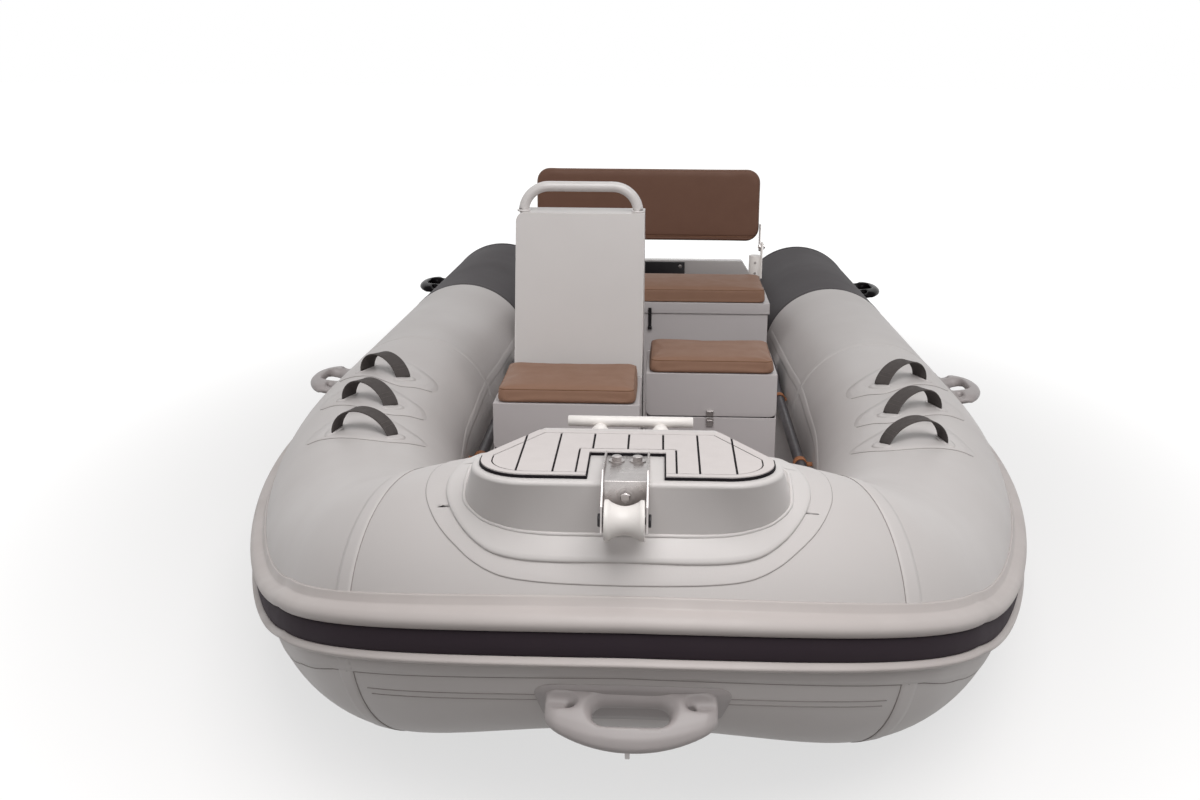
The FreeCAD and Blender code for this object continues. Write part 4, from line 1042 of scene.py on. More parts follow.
    def cone_tape(self, name: str, side: int) -> Piece:
        """Makes the ring of tape over the seam at the cone's base."""
        rings = []
        for s, off in ((-0.022, SUNK), (-0.0205, 0.0012), (0.0, 0.0012), (0.0205, 0.0012), (0.022, SUNK)):
            at = side * (self.straight_end + s)
            rings.append(TUBE.ring(at, self.aft_radius(abs(at)) + off))
        piece = loft(name, rings, False)
        piece.data.uv_layers.new(name="skin")
        return piece

    def inner_tape(self, name: str, side: int) -> Piece:
        """Makes the tape along the tube's inner side, where the cloth closes."""
        table = ((0.75, 168.0), (1.448, 164.0), (1.58, 161.0), (1.77, 158.0), (1.92, 155.0), (2.07, 153.5),
                 (2.24, 155.0), (2.83, 156.0))
        start, length, width = 0.75, 2.08, 7.0

        def edge(u: float, v: float) -> Flat:
            """Place on the tape, whose width is in degrees."""
            s = start + length * v
            return side * s, smooth_value(table, s) + width * u

        return patch(name, edge, 3, 110, self.tape_thick, 0.05)

    def rail(self, name: str, shape: Callable[[float], List[Flat]], finish: Finish, node: str,
             slot: str) -> Piece:
        """Runs a strake's section round the bow and back along both sides.

        Args:
            name: The piece's name.
            shape: Gives the section's points as distances out and up for a tube radius.
            finish: Its material.
            node: The solid that it stands for.
            slot: The record's slot.

        Returns:
            The strake.
        """
        end = self.strake_end + 0.003
        marks = spread(0.0, self.curves_end, self.fine)
        marks += spread(self.curves_end, self.strake_end, 0.06)[1:] + [end]
        rings = []
        for s in [-s for s in reversed(marks[1:])] + marks:
            left = min(1.0, max(0.12, (end - abs(s)) / self.strake_fade))
            swell = math.sqrt(1 - (1 - left) ** 2)
            base = TUBE.radius(s)
            ring = []
            for x, z in shape(base):
                skin = math.sqrt(base ** 2 - z ** 2)
                ring.append(TUBE.place(s, skin + (x - skin) * swell, z))
            rings.append(ring)
        return dress(loft(name, rings), finish, slot=slot, nodes=(node,))

    def strakes(self) -> List[Piece]:
        """Makes the upper rail with its tape, the dark band and the lower rail."""
        def arc(*points: Flat, steps: int = 8) -> List[Flat]:
            """Draws a smooth bow through three points."""
            (x0, z0), (x1, z1), (x2, z2) = points
            cx, cz = 2 * x1 - (x0 + x2) / 2, 2 * z1 - (z0 + z2) / 2
            shares = [i / steps for i in range(steps + 1)]
            return [((1 - t) ** 2 * x0 + 2 * t * (1 - t) * cx + t * t * x2,
                     (1 - t) ** 2 * z0 + 2 * t * (1 - t) * cz + t * t * z2) for t in shares]

        def near(r: float, depth: float, out: float, high: Optional[float] = None) -> Flat:
            """Point out from the skin at a distance from the axis' height, or moved to another height."""
            return math.sqrt(r * r - depth * depth) + out, depth if high is None else high

        def upper(r: float) -> List[Flat]:
            """Section of the upper rail: tape, bright ledge and a round face."""
            tape = [near(r, 0.0652, -0.0008), near(r, 0.0645, 0.0024), near(r, 0.063, 0.003),
                    near(r, 0.0525, 0.003)]
            ledge = [near(r, 0.0505, 0.0042, 0.0508), near(r, 0.0495, 0.0075, 0.0500),
                     near(r, 0.0475, 0.0115, 0.0482)]
            face = arc((r + 0.0125, 0.0462), (r + 0.0212, 0.0345), (r + 0.0148, 0.0222))
            return tape + ledge + face + [near(r, 0.0208, 0.0128), near(r, 0.0205, -0.001)]

        def band(r: float) -> List[Flat]:
            """Section of the dark band, a shallow channel between the rails."""
            face = arc(near(r, 0.0195, 0.0120), (r + 0.0142, 0.0022), near(r, 0.0147, 0.0120, -0.0147))
            return [near(r, 0.0206, -0.001), near(r, 0.0206, 0.0105)] + face + [
                near(r, 0.0158, 0.0105, -0.0158), near(r, 0.0158, -0.001, -0.0158)]

        def lower(r: float) -> List[Flat]:
            """Section of the lower rail, a round face that dies into a thin edge."""
            face = arc((r + 0.0142, -0.0172), (r + 0.0202, -0.0252), near(r, 0.0335, 0.0060, -0.0335))
            return [near(r, 0.0157, -0.001, -0.0157), near(r, 0.0160, 0.0128, -0.0160)] + face + [
                near(r, 0.0350, 0.0028, -0.0350), near(r, 0.0355, -0.001, -0.0355)]

        made = [self.rail("strake_rail_upper", upper, RUBBER_LIGHT, "strake_upper_rail", "strake_light"),
                self.rail("strake_band_dark", band, RUBBER_DARK, "strake_band", "strake_band"),
                self.rail("strake_rail_lower", lower, RUBBER_LIGHT, "strake_lower_rail", "strake_light")]
        # Angle of the tape's lower edge by arc length
        edge = ((0.0, -15.2), (0.344, -16.8), (0.368, -18.2), (0.404, -19.8), (0.512, -22.0), (0.62, -22.8),
                (3.6, -23.0))
        reach, top = 3.66, -9.5

        def under(u: float, v: float) -> Flat:
            """Place on the tape under the strake, which widens from the bow to the sides."""
            s = (v * 2 - 1) * reach
            return s, top + (smooth_value(edge, abs(s)) - top) * u

        tape = patch("under_strake_tape", under, 3, 420, 0.0012, 0.05)
        made.append(dress(tape, FABRIC_PATCH, slot="tube_light"))
        # A darker bead along the tape's lower edge: painted shadow line under the strake.
        made.append(seam_shade_line("under_strake_line", [under(1.0, i / 300.0) for i in range(301)], False, 0.0008))
        return made


# Arc length and angle of the bow step's foot, of its flange's edge and of the patch under it, from the middle
FOOT_LINE = ((0.0, 40.2), (0.036, 40.2), (0.072, 40.4), (0.098, 41.6), (0.1175, 44.0), (0.1355, 47.8),
             (0.1535, 55.2), (0.1605, 64.0), (0.1665, 73.0), (0.1715, 80.0))
FLANGE_EDGE = ((0.0, 30.7), (0.034, 30.6), (0.068, 30.6), (0.098, 31.6), (0.122, 34.5), (0.143, 41.0),
               (0.160, 49.0), (0.173, 56.5), (0.182, 63.5), (0.188, 71.5), (0.190, 80.0), (0.190, 88.0),
               (0.190, 96.0))
PATCH_EDGE = ((0.0, 22.2), (0.040, 22.4), (0.080, 23.2), (0.112, 25.4), (0.136, 30.5), (0.156, 37.5),
              (0.176, 45.5), (0.193, 54.0), (0.208, 62.5), (0.220, 71.5), (0.231, 81.0), (0.238, 90.0),
              (0.240, 99.0))


@dataclass
class BowGear:
    """The step over the bow with its pad, anchor roller and cleat."""

    top: float = 0.628
    front: float = -1.948
    back: float = -1.681
    half: float = 0.217
    back_half: float = 0.131
    wide_y: float = -1.865
    corner: float = 0.080
    # Length of the rim's straight front, round corner and straight side, to one side of the middle
    fore_rim: float = 0.2857
    # The pad ends 34 mm before the step's back
    pad_back: float = -1.715
    pad_inset: float = 0.0115
    rim: float = 0.006
    pad_thick: float = 0.006
    # Width of the black edge that shows round the pale face
    pad_edge: float = 0.0022
    notch_half: float = 0.052
    notch_back: float = -1.827
    # Width of the pale strip round the notch, and the middle lines of the long grooves
    notch_wall: float = 0.0165
    grooves: Tuple[float, ...] = (0.0, 0.050, 0.100, 0.150)
    roller_y: float = -1.986
    roller_z: float = 0.588

    def build(self) -> List[Piece]:
        """Builds every piece of the bow's gear."""
        plate = self.skirt("step_flange_plate", FLANGE_EDGE, (-0.0005, 0.0022, 0.0040, 0.0050, 0.0052))
        under = self.skirt("step_bonded_patch", PATCH_EDGE, (SUNK, 0.0008, 0.0009, 0.0009, 0.0009))
        made = [dress(self.step(), POWDER_PALE, slot="step_paint", nodes=("bow_step",)),
                dress(plate, POWDER_PALE, slot="step_paint", nodes=("bow_step_flange",)),
                dress(under, FABRIC_PATCH, slot="tube_light"),
                dress(self.weld(), POWDER_PALE, slot="step_paint")]
        # A darker bead round the patch under the step: painted shade at its edge.
        made.append(seam_shade_line("step_patch_line", mirrored([traced(PATCH_EDGE, i / 60) for i in range(61)])))
        return made + self.pad() + self.roller() + self.cleat()

    def outline(self, inset: float, front: Optional[float] = None,
                back: Optional[float] = None) -> List[Flat]:
        """Gives the pad's plan: straight front, round front corners and cut back corners.

        Args:
            inset: How far it lies inside the step's rim.
            front: Where it starts instead.
            back: Where it ends instead.

        Returns:
            Its points from the port side of the front round to starboard.
        """
        half = self.half - inset
        y0 = self.front + inset if front is None else front
        y1 = self.back - inset if back is None else back
        r = max(self.corner - inset, 0.010)
        wide = self.wide_y + r / 4
        right = [(half - r + r * math.sin(t), y0 + r - r * math.cos(t))
                 for t in [math.pi / 2 * i / 14 for i in range(15)]]
        share = (y1 - wide) / (self.back - inset - wide)
        right += [(half, wide), (half + (self.back_half - inset * 0.6 - half) * share, y1)]
        return right + [(-x, y) for x, y in reversed(right)]

    def rim_at(self, walk: float) -> Flat:
        """Gives the rim's point of the port half, by the way from the middle of its front."""
        straight = self.half - self.corner
        turn = self.corner * math.pi / 2
        wide = self.wide_y + self.corner / 4
        side = wide - self.front - self.corner
        slope = math.dist((self.half, wide), (self.back_half, self.back))
        if walk < straight:
            return walk, self.front
        if walk < straight + turn:
            t = (walk - straight) / self.corner
            return straight + self.corner * math.sin(t), self.front + self.corner * (1 - math.cos(t))
        if walk < straight + turn + side:
            return self.half, self.front + self.corner + walk - straight - turn
        share = (walk - straight - turn - side) / slope
        if share < 1.0:
            return self.half + (self.back_half - self.half) * share, wide + (self.back - wide) * share
        return max(0.0, self.back_half - (share - 1.0) * slope), self.back

    def foot_at(self, walk: float) -> Vector:
        """Gives the point of the tube where the wall under the rim ends."""
        x, y = self.rim_at(walk)
        # Ahead of this place the walls end on the tube's crown, and behind it at this height
        open_y, floor = -1.72, 0.44
        under = Vector((x, y, max(TUBE.crown(x, y), floor) if y < open_y else floor))
        blend = min(1.0, max(0.0, (walk - 0.34) / 0.08))
        return TUBE.skin(*traced(FOOT_LINE, walk / 0.36)).lerp(under, blend)

    def walks(self, reach: float) -> List[Tuple[float, int]]:
        """Spreads places round the rim from the starboard side to port, up to a reach from the middle."""
        count = round(reach / 0.008)
        half = [reach * i / count for i in range(count + 1)]
        return [(w, -1) for w in reversed(half[1:])] + [(w, 1) for w in half]

    def step(self) -> Piece:
        """Welds up the step: a plate with a round rim, and walls that lean in to their foot on the tube."""
        slope = math.dist((self.half, self.wide_y + self.corner / 4), (self.back_half, self.back))
        rim, feet = [], []
        for w, side in self.walks(self.fore_rim + slope + self.back_half)[1:-1]:
            x, y = self.rim_at(w)
            foot = self.foot_at(w)
            rim.append(Vector((side * x, y, self.top)))
            feet.append(Vector((side * foot.x, foot.y, foot.z)))
        inward = []
        for i in range(len(rim)):
            along = (rim[(i + 1) % len(rim)] - rim[i - 1]).normalized()
            inward.append(Vector((-along.y, along.x, 0.0)))
        rings = []
        for t in [math.pi / 2 * i / 5 for i in range(6)]:
            drop = Vector((0, 0, self.rim * (1 - math.cos(t))))
            rings.append([q + n * self.rim * (1 - math.sin(t)) - drop for q, n in zip(rim, inward)])
        edge = rings[-1]
        for share in (0.02, 0.25, 0.5, 0.75, 0.94, 1.0):
            rings.append([a.lerp(b, share) for a, b in zip(edge, feet)])
        # The last ring closes the step inside the tube, and its fore part lies up to 30 mm further aft
        closing = []
        for foot in feet:
            share = min(1.0, max(0.0, (-1.72 - foot.y) / 0.1))
            closing.append(Vector((foot.x * 0.86, foot.y + 0.03 * share, min(foot.z - 0.02, 0.47))))
        rings.append(closing)
        return loft("bow_step_welded", rings)

    def weld(self) -> Piece:
        """Lays the weld bead where the step's walls meet the plate on the tube."""
        path = []
        for w, side in self.walks(0.40):
            foot = self.foot_at(w)
            path.append(Vector((side * foot.x, foot.y - 0.001, foot.z + 0.0055)))
        return PATHS.along("step_weld_bead", path, 0.0032, POWDER_PALE, sides=12, ripple=0.0016)

    def skirt(self, name: str, border: Sequence[Flat], lifts: Sequence[float]) -> Piece:
        """Lays a plate or a patch on the tube round the step's foot, from its border inwards.

        Args:
            name: The piece's name.
            border: Arc length and angle of its edge, to port of the middle.
            lifts: Its heights over the skin from the border on. The last one goes on to its inner edge.

        Returns:
            The layer.
        """
        shares = (0.0, 0.0, 0.012, 0.035, 0.08, 0.3, 0.55, 0.8, 1.0)
        heights = list(lifts) + [lifts[-1]] * (len(shares) - len(lifts))
        # Half the length of the inner edge under the step, its angle, and where the border turns aft
        inner, inner_angle, turn = 0.118, 56.0, 0.19
        points: List[Vector] = []
        for s, g in mirrored([traced(border, i / 60) for i in range(61)]):
            to_s = math.copysign(min(abs(s), inner), s)
            to_g = max(g, inner_angle) + 18.0 * min(1.0, abs(s) / turn) if abs(s) < turn else g
            points += [TUBE.skin(s + (to_s - s) * share, g + (to_g - g) * share, lift)
                       for share, lift in zip(shares, heights)]
        wide = len(shares)
        faces = [[i * wide + j, (i + 1) * wide + j, (i + 1) * wide + j + 1, i * wide + j + 1]
                 for i in range(120) for j in range(wide - 1)]
        piece = mesh_piece(name, points, faces)
        piece.data.uv_layers.new(name="skin")
        return facing(piece, len(faces) // 2, Vector((0.0, 0.0, 1.0)))

    def pad(self) -> List[Piece]:
        """Makes the foam pad: a black core, and pale strips that leave black lines between them."""
        back, notch, wall = self.pad_back, self.notch_half, self.notch_wall
        core = slab("pad_core", self.outline(self.pad_inset, back=back), self.top + 0.0002, self.top + 0.0042)
        face = slab("pad_face", self.outline(self.pad_inset + self.pad_edge, back=back - self.pad_edge),
                    self.top + 0.0040, self.top + self.pad_thick)
        for layer, more in ((core, 0.0), (face, self.pad_edge)):
            end = self.notch_back + more
            cut(layer, block("notch", (-notch - more, -2.0, 0.6), (notch + more, end, 0.7)))
        z0, z1 = self.top + 0.0030, self.top + 0.02
        line = slab("line", self.outline(0.0285, self.front + 0.0245, back - 0.0165), z0, z1)
        inside = self.outline(0.0305, self.front + 0.0265, back - 0.0185)
        cut(line, slab("hole", inside, z0 - 0.01, z1 + 0.01))
        cut(face, line)
        # Grooves by the middle of their sides: beside the notch, behind it, and lengthwise over the pad
        fore, aft = self.front + 0.0262, self.notch_back + wall
        grooves = [(x - 0.0014, fore, x + 0.0014, aft) for x in (-notch - wall, notch + wall)]
        grooves.append((-notch - wall, aft - 0.0014, notch + wall, aft + 0.0014))
        for x in [side * x for x in self.grooves for side in ((-1, 1) if x else (1,))]:
            grooves.append((x - 0.0015, aft if abs(x) < 0.06 else fore, x + 0.0015, back - 0.0182))
        for x0, y0, x1, y1 in grooves:
            cut(face, block("groove", (x0, y0, z0), (x1, y1, z1)))
        pale = dress(bevelled(face, 0.0005, 1), FOAM_PALE, slot="deck_pad")
        pale.name = "pad_pale_face"
        return [dress(bevelled(core, 0.0008, 2), CAULK_BLACK, slot="deck_pad", nodes=("bow_step_pad",)), pale]

    def roller(self) -> List[Piece]:
        """Dresses the folded bracket and makes its bolts, its roller and its pin."""
        bracket = dress(softened("roller_bracket", 0.0009), STAINLESS, slot="stainless")
        upright = Matrix.Identity(3)
        spots = [(Vector((-0.0145, -1.8585, 0.631)), upright), (Vector((0.0145, -1.8585, 0.631)), upright),
                 (Vector((0.0, -1.951, 0.6095)), FACES_BOW)]
        bolts = fasteners("bracket_bolts", 0.012, 0.0075, spots)
        axle = (0.0, self.roller_y, self.roller_z)
        rows = mirrored([(0.0, 0.0190), (0.006, 0.0197), (0.012, 0.0216), (0.017, 0.0240), (0.0200, 0.0262),
                         (0.0215, 0.0276), (0.0262, 0.0276), (0.0272, 0.0262)])
        wheel = loft("anchor_roller_body", turned(0, axle, rows, 56))
        cut(wheel, loft("bore", turned(0, axle, [(-0.04, 0.0056), (0.04, 0.0056)], 32)))
        dress(bevelled(wheel, 0.0006, 2, 50), NYLON_WHITE, "anchor_roller", "white_moulding", ("bow_roller",))
        pin = dress(softened("roller_pin", 0.0012), NYLON_BLACK, slot="black_moulding")
        return [bracket, bolts, wheel, pin]

    def cleat(self) -> List[Piece]:
        """Makes the cleat: a bar with round ends on two posts that stand off the step's back."""
        half, r = 0.096, 0.0085
        rows = mirrored([(0.0, r), (0.05, r), (half - 0.001, r), (half, r - 0.001)])
        parts = [loft("bar", turned(0, (0.0, -1.651, 0.630), rows, 28))]
        # Distance behind the step, radius and height of the middle of each section of a post
        post = ((0.0, 0.0155, 0.617), (0.004, 0.0150, 0.617), (0.008, 0.0118, 0.6165),
                (0.018, 0.0108, 0.6175), (0.026, 0.0112, 0.6195), (0.034, 0.0100, 0.622),
                (0.038, 0.0060, 0.6235))
        for x in (-0.046, 0.046):
            parts.append(loft("post", [disc(1, (x, self.back + d, high), q, 28) for d, q, high in post]))
        whole = joined("mooring_cleat", parts)
        return [dress(whole, NYLON_WHITE, slot="white_moulding", nodes=("bow_cleat",))]


def bolt(across: float, high: float) -> Piece:
    """Makes a hexagon bolt head with its washer, standing up along Z, about so far across its flats."""
    rings = []
    for size, z, flat in ((0.95, 0.0, False), (0.95, 0.001, False), (0.55, 0.001, True),
                          (0.55, high * 0.85, True), (0.46, high, False)):
        ring = []
        for t in circle(24):
            off = (t + math.pi / 6) % (math.pi / 3) - math.pi / 6
            reach = across * size / (math.cos(off) if flat else 1.0)
            ring.append(Vector((reach * math.cos(t), reach * math.sin(t), z)))
        rings.append(ring)
    return loft("bolt", rings, smooth=False)


def fasteners(name: str, across: float, high: float, spots: Sequence[Tuple[Vector, Matrix]]) -> Piece:
    """Sets bolt heads of one size at some places, on the boat's own body."""
    heads = COPIES.at(name, bolt(across, high), spots, STAINLESS_BRIGHT)
    return dress(heads, STAINLESS_BRIGHT, slot="stainless")


# Each grip's arc length, its swing in degrees and the fore border of its patch
GRIPS = ((1.085, 30.0, ((1.112, 56.0), (1.090, 64.0), (1.046, 76.0), (0.998, 90.0), (0.985, 102.0),
                        (1.022, 114.5), (1.088, 128.0))),
         (1.346, 40.0, ((1.376, 57.5), (1.340, 69.5), (1.292, 82.0), (1.240, 94.0), (1.228, 105.0),
                        (1.262, 115.0), (1.310, 127.0))),
         (1.616, 39.0, ((1.646, 56.0), (1.604, 69.5), (1.562, 84.0), (1.514, 95.0), (1.492, 105.0),
                        (1.526, 115.0), (1.575, 127.0))))


@dataclass
class Handles:
    """The webbing grips on top of the sides and the moulded handles."""

    strap_width: float = 0.044
    strap_thick: float = 0.003
    strap_half: float = 0.067
    strap_rise: float = 0.044
    # Angle of the middle of a strap on the tube
    strap_top: float = 90.5
    mould_half: float = 0.119
    mould_end: float = 0.036
    # The finger opening: its middle outward and upward, half its length and width, and its end radius
    opening: Tuple[float, ...] = (0.0290, -0.0015, 0.053, 0.0185, 0.0175)
    # The rope holes: distance along and outward from the middle, and radius
    hole: Tuple[float, ...] = (0.083, 0.019, 0.006)
    # Distance out, height, half thickness and direction of the outer face, from the root to the lip
    profile: Tuple[Row, ...] = (
        (-0.030, 0.0080, 0.0130, 0.00, 1.00), (0.0, 0.0070, 0.0130, 0.05, 1.00),
        (0.018, 0.0040, 0.0130, 0.18, 0.98), (0.036, -0.0010, 0.0125, 0.34, 0.94),
        (0.051, -0.0085, 0.0120, 0.57, 0.82), (0.062, -0.0170, 0.0115, 0.82, 0.57),
        (0.067, -0.0265, 0.0105, 0.96, 0.28), (0.068, -0.0335, 0.0085, 1.00, 0.00),
        (0.067, -0.0385, 0.0040, 1.00, -0.10))

    def build(self) -> List[Piece]:
        """Builds the straps, their patches and the moulded handles."""
        made: List[Piece] = []
        for side, label in SIDES:
            band = joined("webbing_grips_" + label, [self.strap(side, s, turn) for s, turn, _ in GRIPS])
            made.append(dress(band, WEBBING, slot="webbing", nodes=("strap_handles_" + label,)))
            made.append(dress(self.stitches(side, label), STRAP_THREAD, slot="webbing"))
            made += self.patches(side, label)
        # Angle, tilt and reach of each moulding, and half length, half height and angle of its base
        bow = ((-27.5, 12.0, 0.080), (0.108, 0.040, -29.5))
        beside = ((27.0, 0.0, 0.076), (0.133, 0.030, 27.0))
        aft = ((24.5, 0.0, 0.076), (0.133, 0.022, 24.5))
        for node, finish, s, (lie, pad) in (("tow_handle_bow", RUBBER_MOULDED, 0.010, bow),
                                            ("carry_handle_side_port", RUBBER_MOULDED, 1.940, beside),
                                            ("carry_handle_side_starboard", RUBBER_MOULDED, -1.940, beside),
                                            ("carry_handle_aft_port", RUBBER_BLACK, 3.479, aft),
                                            ("carry_handle_aft_starboard", RUBBER_BLACK, -3.479, aft)):
            made.append(dress(self.moulded(node, s, *lie), finish, slot="handle_rubber", nodes=(node,)))
            made.append(dress(self.base(node, s, *pad), finish, slot="handle_rubber"))
        return made

    def across(self, s: float, turn: float, u: float) -> Flat:
        """Gives a place on the line between a strap's feet, the outer one at -1 and the inner one at 1."""
        swing = math.radians(turn)
        return (s - u * self.strap_half * math.sin(swing),
                self.strap_top + math.degrees(u * self.strap_half * math.cos(swing) / TUBE.full_radius))

    def arch(self, side: int, s: float, turn: float) -> Tuple[List[Tuple[Vector, Vector]], Vector]:
        """Gives the course of a strap.

        Args:
            side: 1 to port and -1 to starboard.
            s: Arc length of its middle.
            turn: How far its inner foot is swung towards the bow, in degrees.

        Returns:
            The points of its middle line with the direction square to it, and the direction of its width.
        """
        def at(u: float, high: float) -> Vector:
            """Point over the tube between the feet."""
            place, angle = self.across(s, turn, u)
            return TUBE.skin(side * place, angle, high)

        width = (at(0.0, 0.1) - at(0.0, 0.0)).cross(at(0.1, 0.0) - at(-0.1, 0.0)).normalized()
        line = []
        for i in range(45):
            u = i / 22 - 1
            lift = 1 - u * u
            line.append(at(u - 0.14 * lift, self.strap_rise * lift ** 0.8 - 0.001))
        rows = []
        for i, point in enumerate(line):
            ahead = line[min(i + 1, 44)] - line[max(i - 1, 0)]
            rows.append((point, ahead.cross(width).normalized()))
        return rows, width

    def strap(self, side: int, s: float, turn: float) -> Piece:
        """Sews one webbing strap into an arch between two slits of its patch."""
        half, thick = self.strap_width / 2, self.strap_thick / 2
        shape = [(-half, -thick * 0.5), (-half + 0.001, -thick), (half - 0.001, -thick), (half, -thick * 0.5),
                 (half, thick * 0.5), (half - 0.0012, thick), (half - 0.0045, thick * 0.7),
                 (-half + 0.0045, thick * 0.7), (-half + 0.0012, thick), (-half, thick * 0.5)]
        rows, width = self.arch(side, s, turn)
        piece = loft("strap", [[p + width * a + n * b for a, b in shape] for p, n in rows])
        mapped(piece, [(a, i * 0.0045) for i in range(len(rows)) for a, _ in shape])
        return piece

    def stitches(self, side: int, label: str) -> Piece:
        """Sews the rows of stitches across each strap's feet."""
        stitch = block("stitch", (-0.0014, -0.0004, -0.0002), (0.0014, 0.0004, 0.0005))
        spots = []
        for s, turn, _ in GRIPS:
            rows, width = self.arch(side, s, turn)
            for index in (4, 6, len(rows) - 7, len(rows) - 5):
                p, n = rows[index]
                lie = Matrix((width, n.cross(width).normalized(), n)).transposed()
                spots += [(p + width * (i - 4) * 0.0046 + n * self.strap_thick * 0.36, lie) for i in range(9)]
        return COPIES.at("strap_stitches_" + label, stitch, spots, STRAP_THREAD)

    def patches(self, side: int, label: str) -> List[Piece]:
        """Bonds the patch under each strap, with a darker bead of painted shade along part of its edge, and
        the small lips at its feet.
        """
        made = []
        for n, (s, turn, front) in enumerate(GRIPS):
            middle = s + 0.03
            border = list(front) + [(2 * middle - a, 183.0 - b) for a, b in front]
            loop = [border[-1]] + border + border[:2]
            dense = [traced(loop, (1 + k / 6) / (len(loop) - 1)) for k in range(6 * len(border))]
            made.append(bonded("strap_patch_%s_%d" % (label, n), (middle, 91.5), dense, 0.0007, side))
            # A darker bead along the patch's fore edge: painted shade.
            made.append(seam_shade_line("strap_patch_line_%s_%d" % (label, n), [(side * a, b) for a, b in dense[:36]]))
            swing = math.radians(turn)
            for u in (-1, 1):
                foot = self.across(s, turn, u)
                lip = []
                for t in circle(28):
                    a, b = 0.034 * math.cos(t), 0.016 * math.sin(t) + 0.006 * u
                    rise = a * math.sin(swing) + b * math.cos(swing)
                    lip.append((foot[0] + a * math.cos(swing) - b * math.sin(swing),
                                foot[1] + math.degrees(rise / TUBE.full_radius)))
                made.append(bonded("strap_lip_%s_%d_%d" % (label, n, u), foot, lip, 0.0016, side))
        return made

    def moulded(self, node: str, s: float, angle: float, tilt: float, reach: float) -> Piece:
        """Moulds a handle: a shield that curls down from the tube, with a finger opening and two rope holes.

        Args:
            node: The solid that it stands for.
            s: Arc length of its middle.
            angle: Angle of its root on the tube, in degrees.
            tilt: How far it leans up from square to the tube, in degrees.
            reach: How far its middle stands out from the tube.

        Returns:
            The moulding, with its edges melted together.
        """
        base = TUBE.skin(s, angle)
        out = (TUBE.skin(s, angle, 0.1) - base).normalized()
        along = TUBE.section(s)[3]
        up = out.cross(along).normalized()
        if up.dot(TUBE.skin(s, angle + 5.0) - base) < 0:
            up = -up
        lean = math.radians(tilt)
        out, up = out * math.cos(lean) + up * math.sin(lean), up * math.cos(lean) - out * math.sin(lean)

        def at(x: float, y: float, z: float) -> Vector:
            """Point by its distances along the tube, out from its skin and up round it."""
            return base + along * x + out * y + up * z

        half, bulge = self.mould_half, reach - self.mould_end
        arc = (half ** 2 + bulge ** 2) / (2 * bulge)
        rings = []
        for i in range(41):
            x = half * math.sin(math.pi / 2 * (i - 20) / 20)
            grow = (math.sqrt(arc * arc - x * x) - arc + reach) / reach
            # The lip hangs lower where the shield reaches further out, and thins towards both ends
            curl = 0.36 + 0.40 * (grow * reach - self.mould_end) / bulge
            fade = math.sqrt(max(0.1, 1 - max(0.0, abs(x) / half - 0.88) / 0.12))
            rings.append([at(x, y * (grow if y > 0 else 1.0) + sign * ny * thick * fade,
                             z * (curl if z < 0 else 1.0) + sign * nz * thick * fade)
                          for sign in (1, -1) for y, z, thick, ny, nz in self.profile[::sign]])
        piece = loft(node + "_dressed", rings)
        self.open(piece, at)
        melt = piece.modifiers.new("melt", "REMESH")
        melt.mode = "VOXEL"
        melt.voxel_size = 0.0024
        soften = piece.modifiers.new("soften", "SMOOTH")
        soften.iterations = 11
        thin = piece.modifiers.new("thin", "DECIMATE")
        thin.ratio = 0.35
        return smoothed(settled(piece))

    def open(self, piece: Piece, at: Callable[[float, float, float], Vector]) -> None:
        """Cuts the flared finger opening, the rope holes and the scoops over them.

        Args:
            piece: The shield.
            at: Turns its own distances along, out and up into a place of the row frame.
        """
        y, z, half, high, r = self.opening
        rows = []
        # Height on the opening's axis, and how much wider it is there
        for h, more in ((-0.05, 0.0), (-0.002, 0.0), (0.004, 0.002), (0.009, 0.0055), (0.013, 0.0105),
                        (0.03, 0.03)):
            walk = self.evened(rounded(-half - more, -high - more, half + more, high + more, r + more))
            rows.append([at(x, y + w * 0.97 + h * 0.22, z - w * 0.22 + h * 0.97) for x, w in walk])
        cut(piece, loft("opening", rows, smooth=False))
        x, y, r = self.hole
        # Distance towards the end and radius along a scoop, which lies 17.5 mm up
        scoop = [(-0.010, 0.004), (-0.007, 0.0085), (-0.002, 0.0115), (0.004, 0.0125), (0.070, 0.0125)]
        for side in (-1, 1):
            rows = [[at(side * x + r * math.cos(t), y + r * math.sin(t), h) for t in circle(24)]
                    for h in (-0.05, 0.05)]
            cut(piece, loft("hole", rows, smooth=False))
            rows = [[at(side * (x + d), y + q * math.cos(t), 0.0175 + q * math.sin(t)) for t in circle(24)]
                    for d, q in scoop]
            cut(piece, loft("scoop", rows, smooth=False))

    def evened(self, walk: Sequence[Row], count: int = 72) -> List[Flat]:
        """Spreads a fixed number of points evenly along a closed walk."""
        flat = [p[:2] for p in walk]
        ends = [0.0]
        for a, b in zip(flat, flat[1:] + flat[:1]):
            ends.append(ends[-1] + math.dist(a, b))
        spots = []
        k = 0
        for i in range(count):
            at = ends[-1] * i / count
            while ends[k + 1] < at:
                k += 1
            share = (at - ends[k]) / (ends[k + 1] - ends[k])
            (x0, y0), (x1, y1) = flat[k], flat[(k + 1) % len(flat)]
            spots.append((x0 + (x1 - x0) * share, y0 + (y1 - y0) * share))
        return spots

    def base(self, node: str, s: float, half: float, high: float, angle: float) -> Piece:
        """Bonds the handle's base on the tube, a thin pad with round corners."""
        border = [(abs(s) + x, angle + math.degrees(z / TUBE.full_radius))
                  for x, z, _, _ in rounded(-half, -high, half, high, 0.021)]
        return bonded(node + "_base", (abs(s), angle), border, 0.0032, -1 if s < 0 else 1)


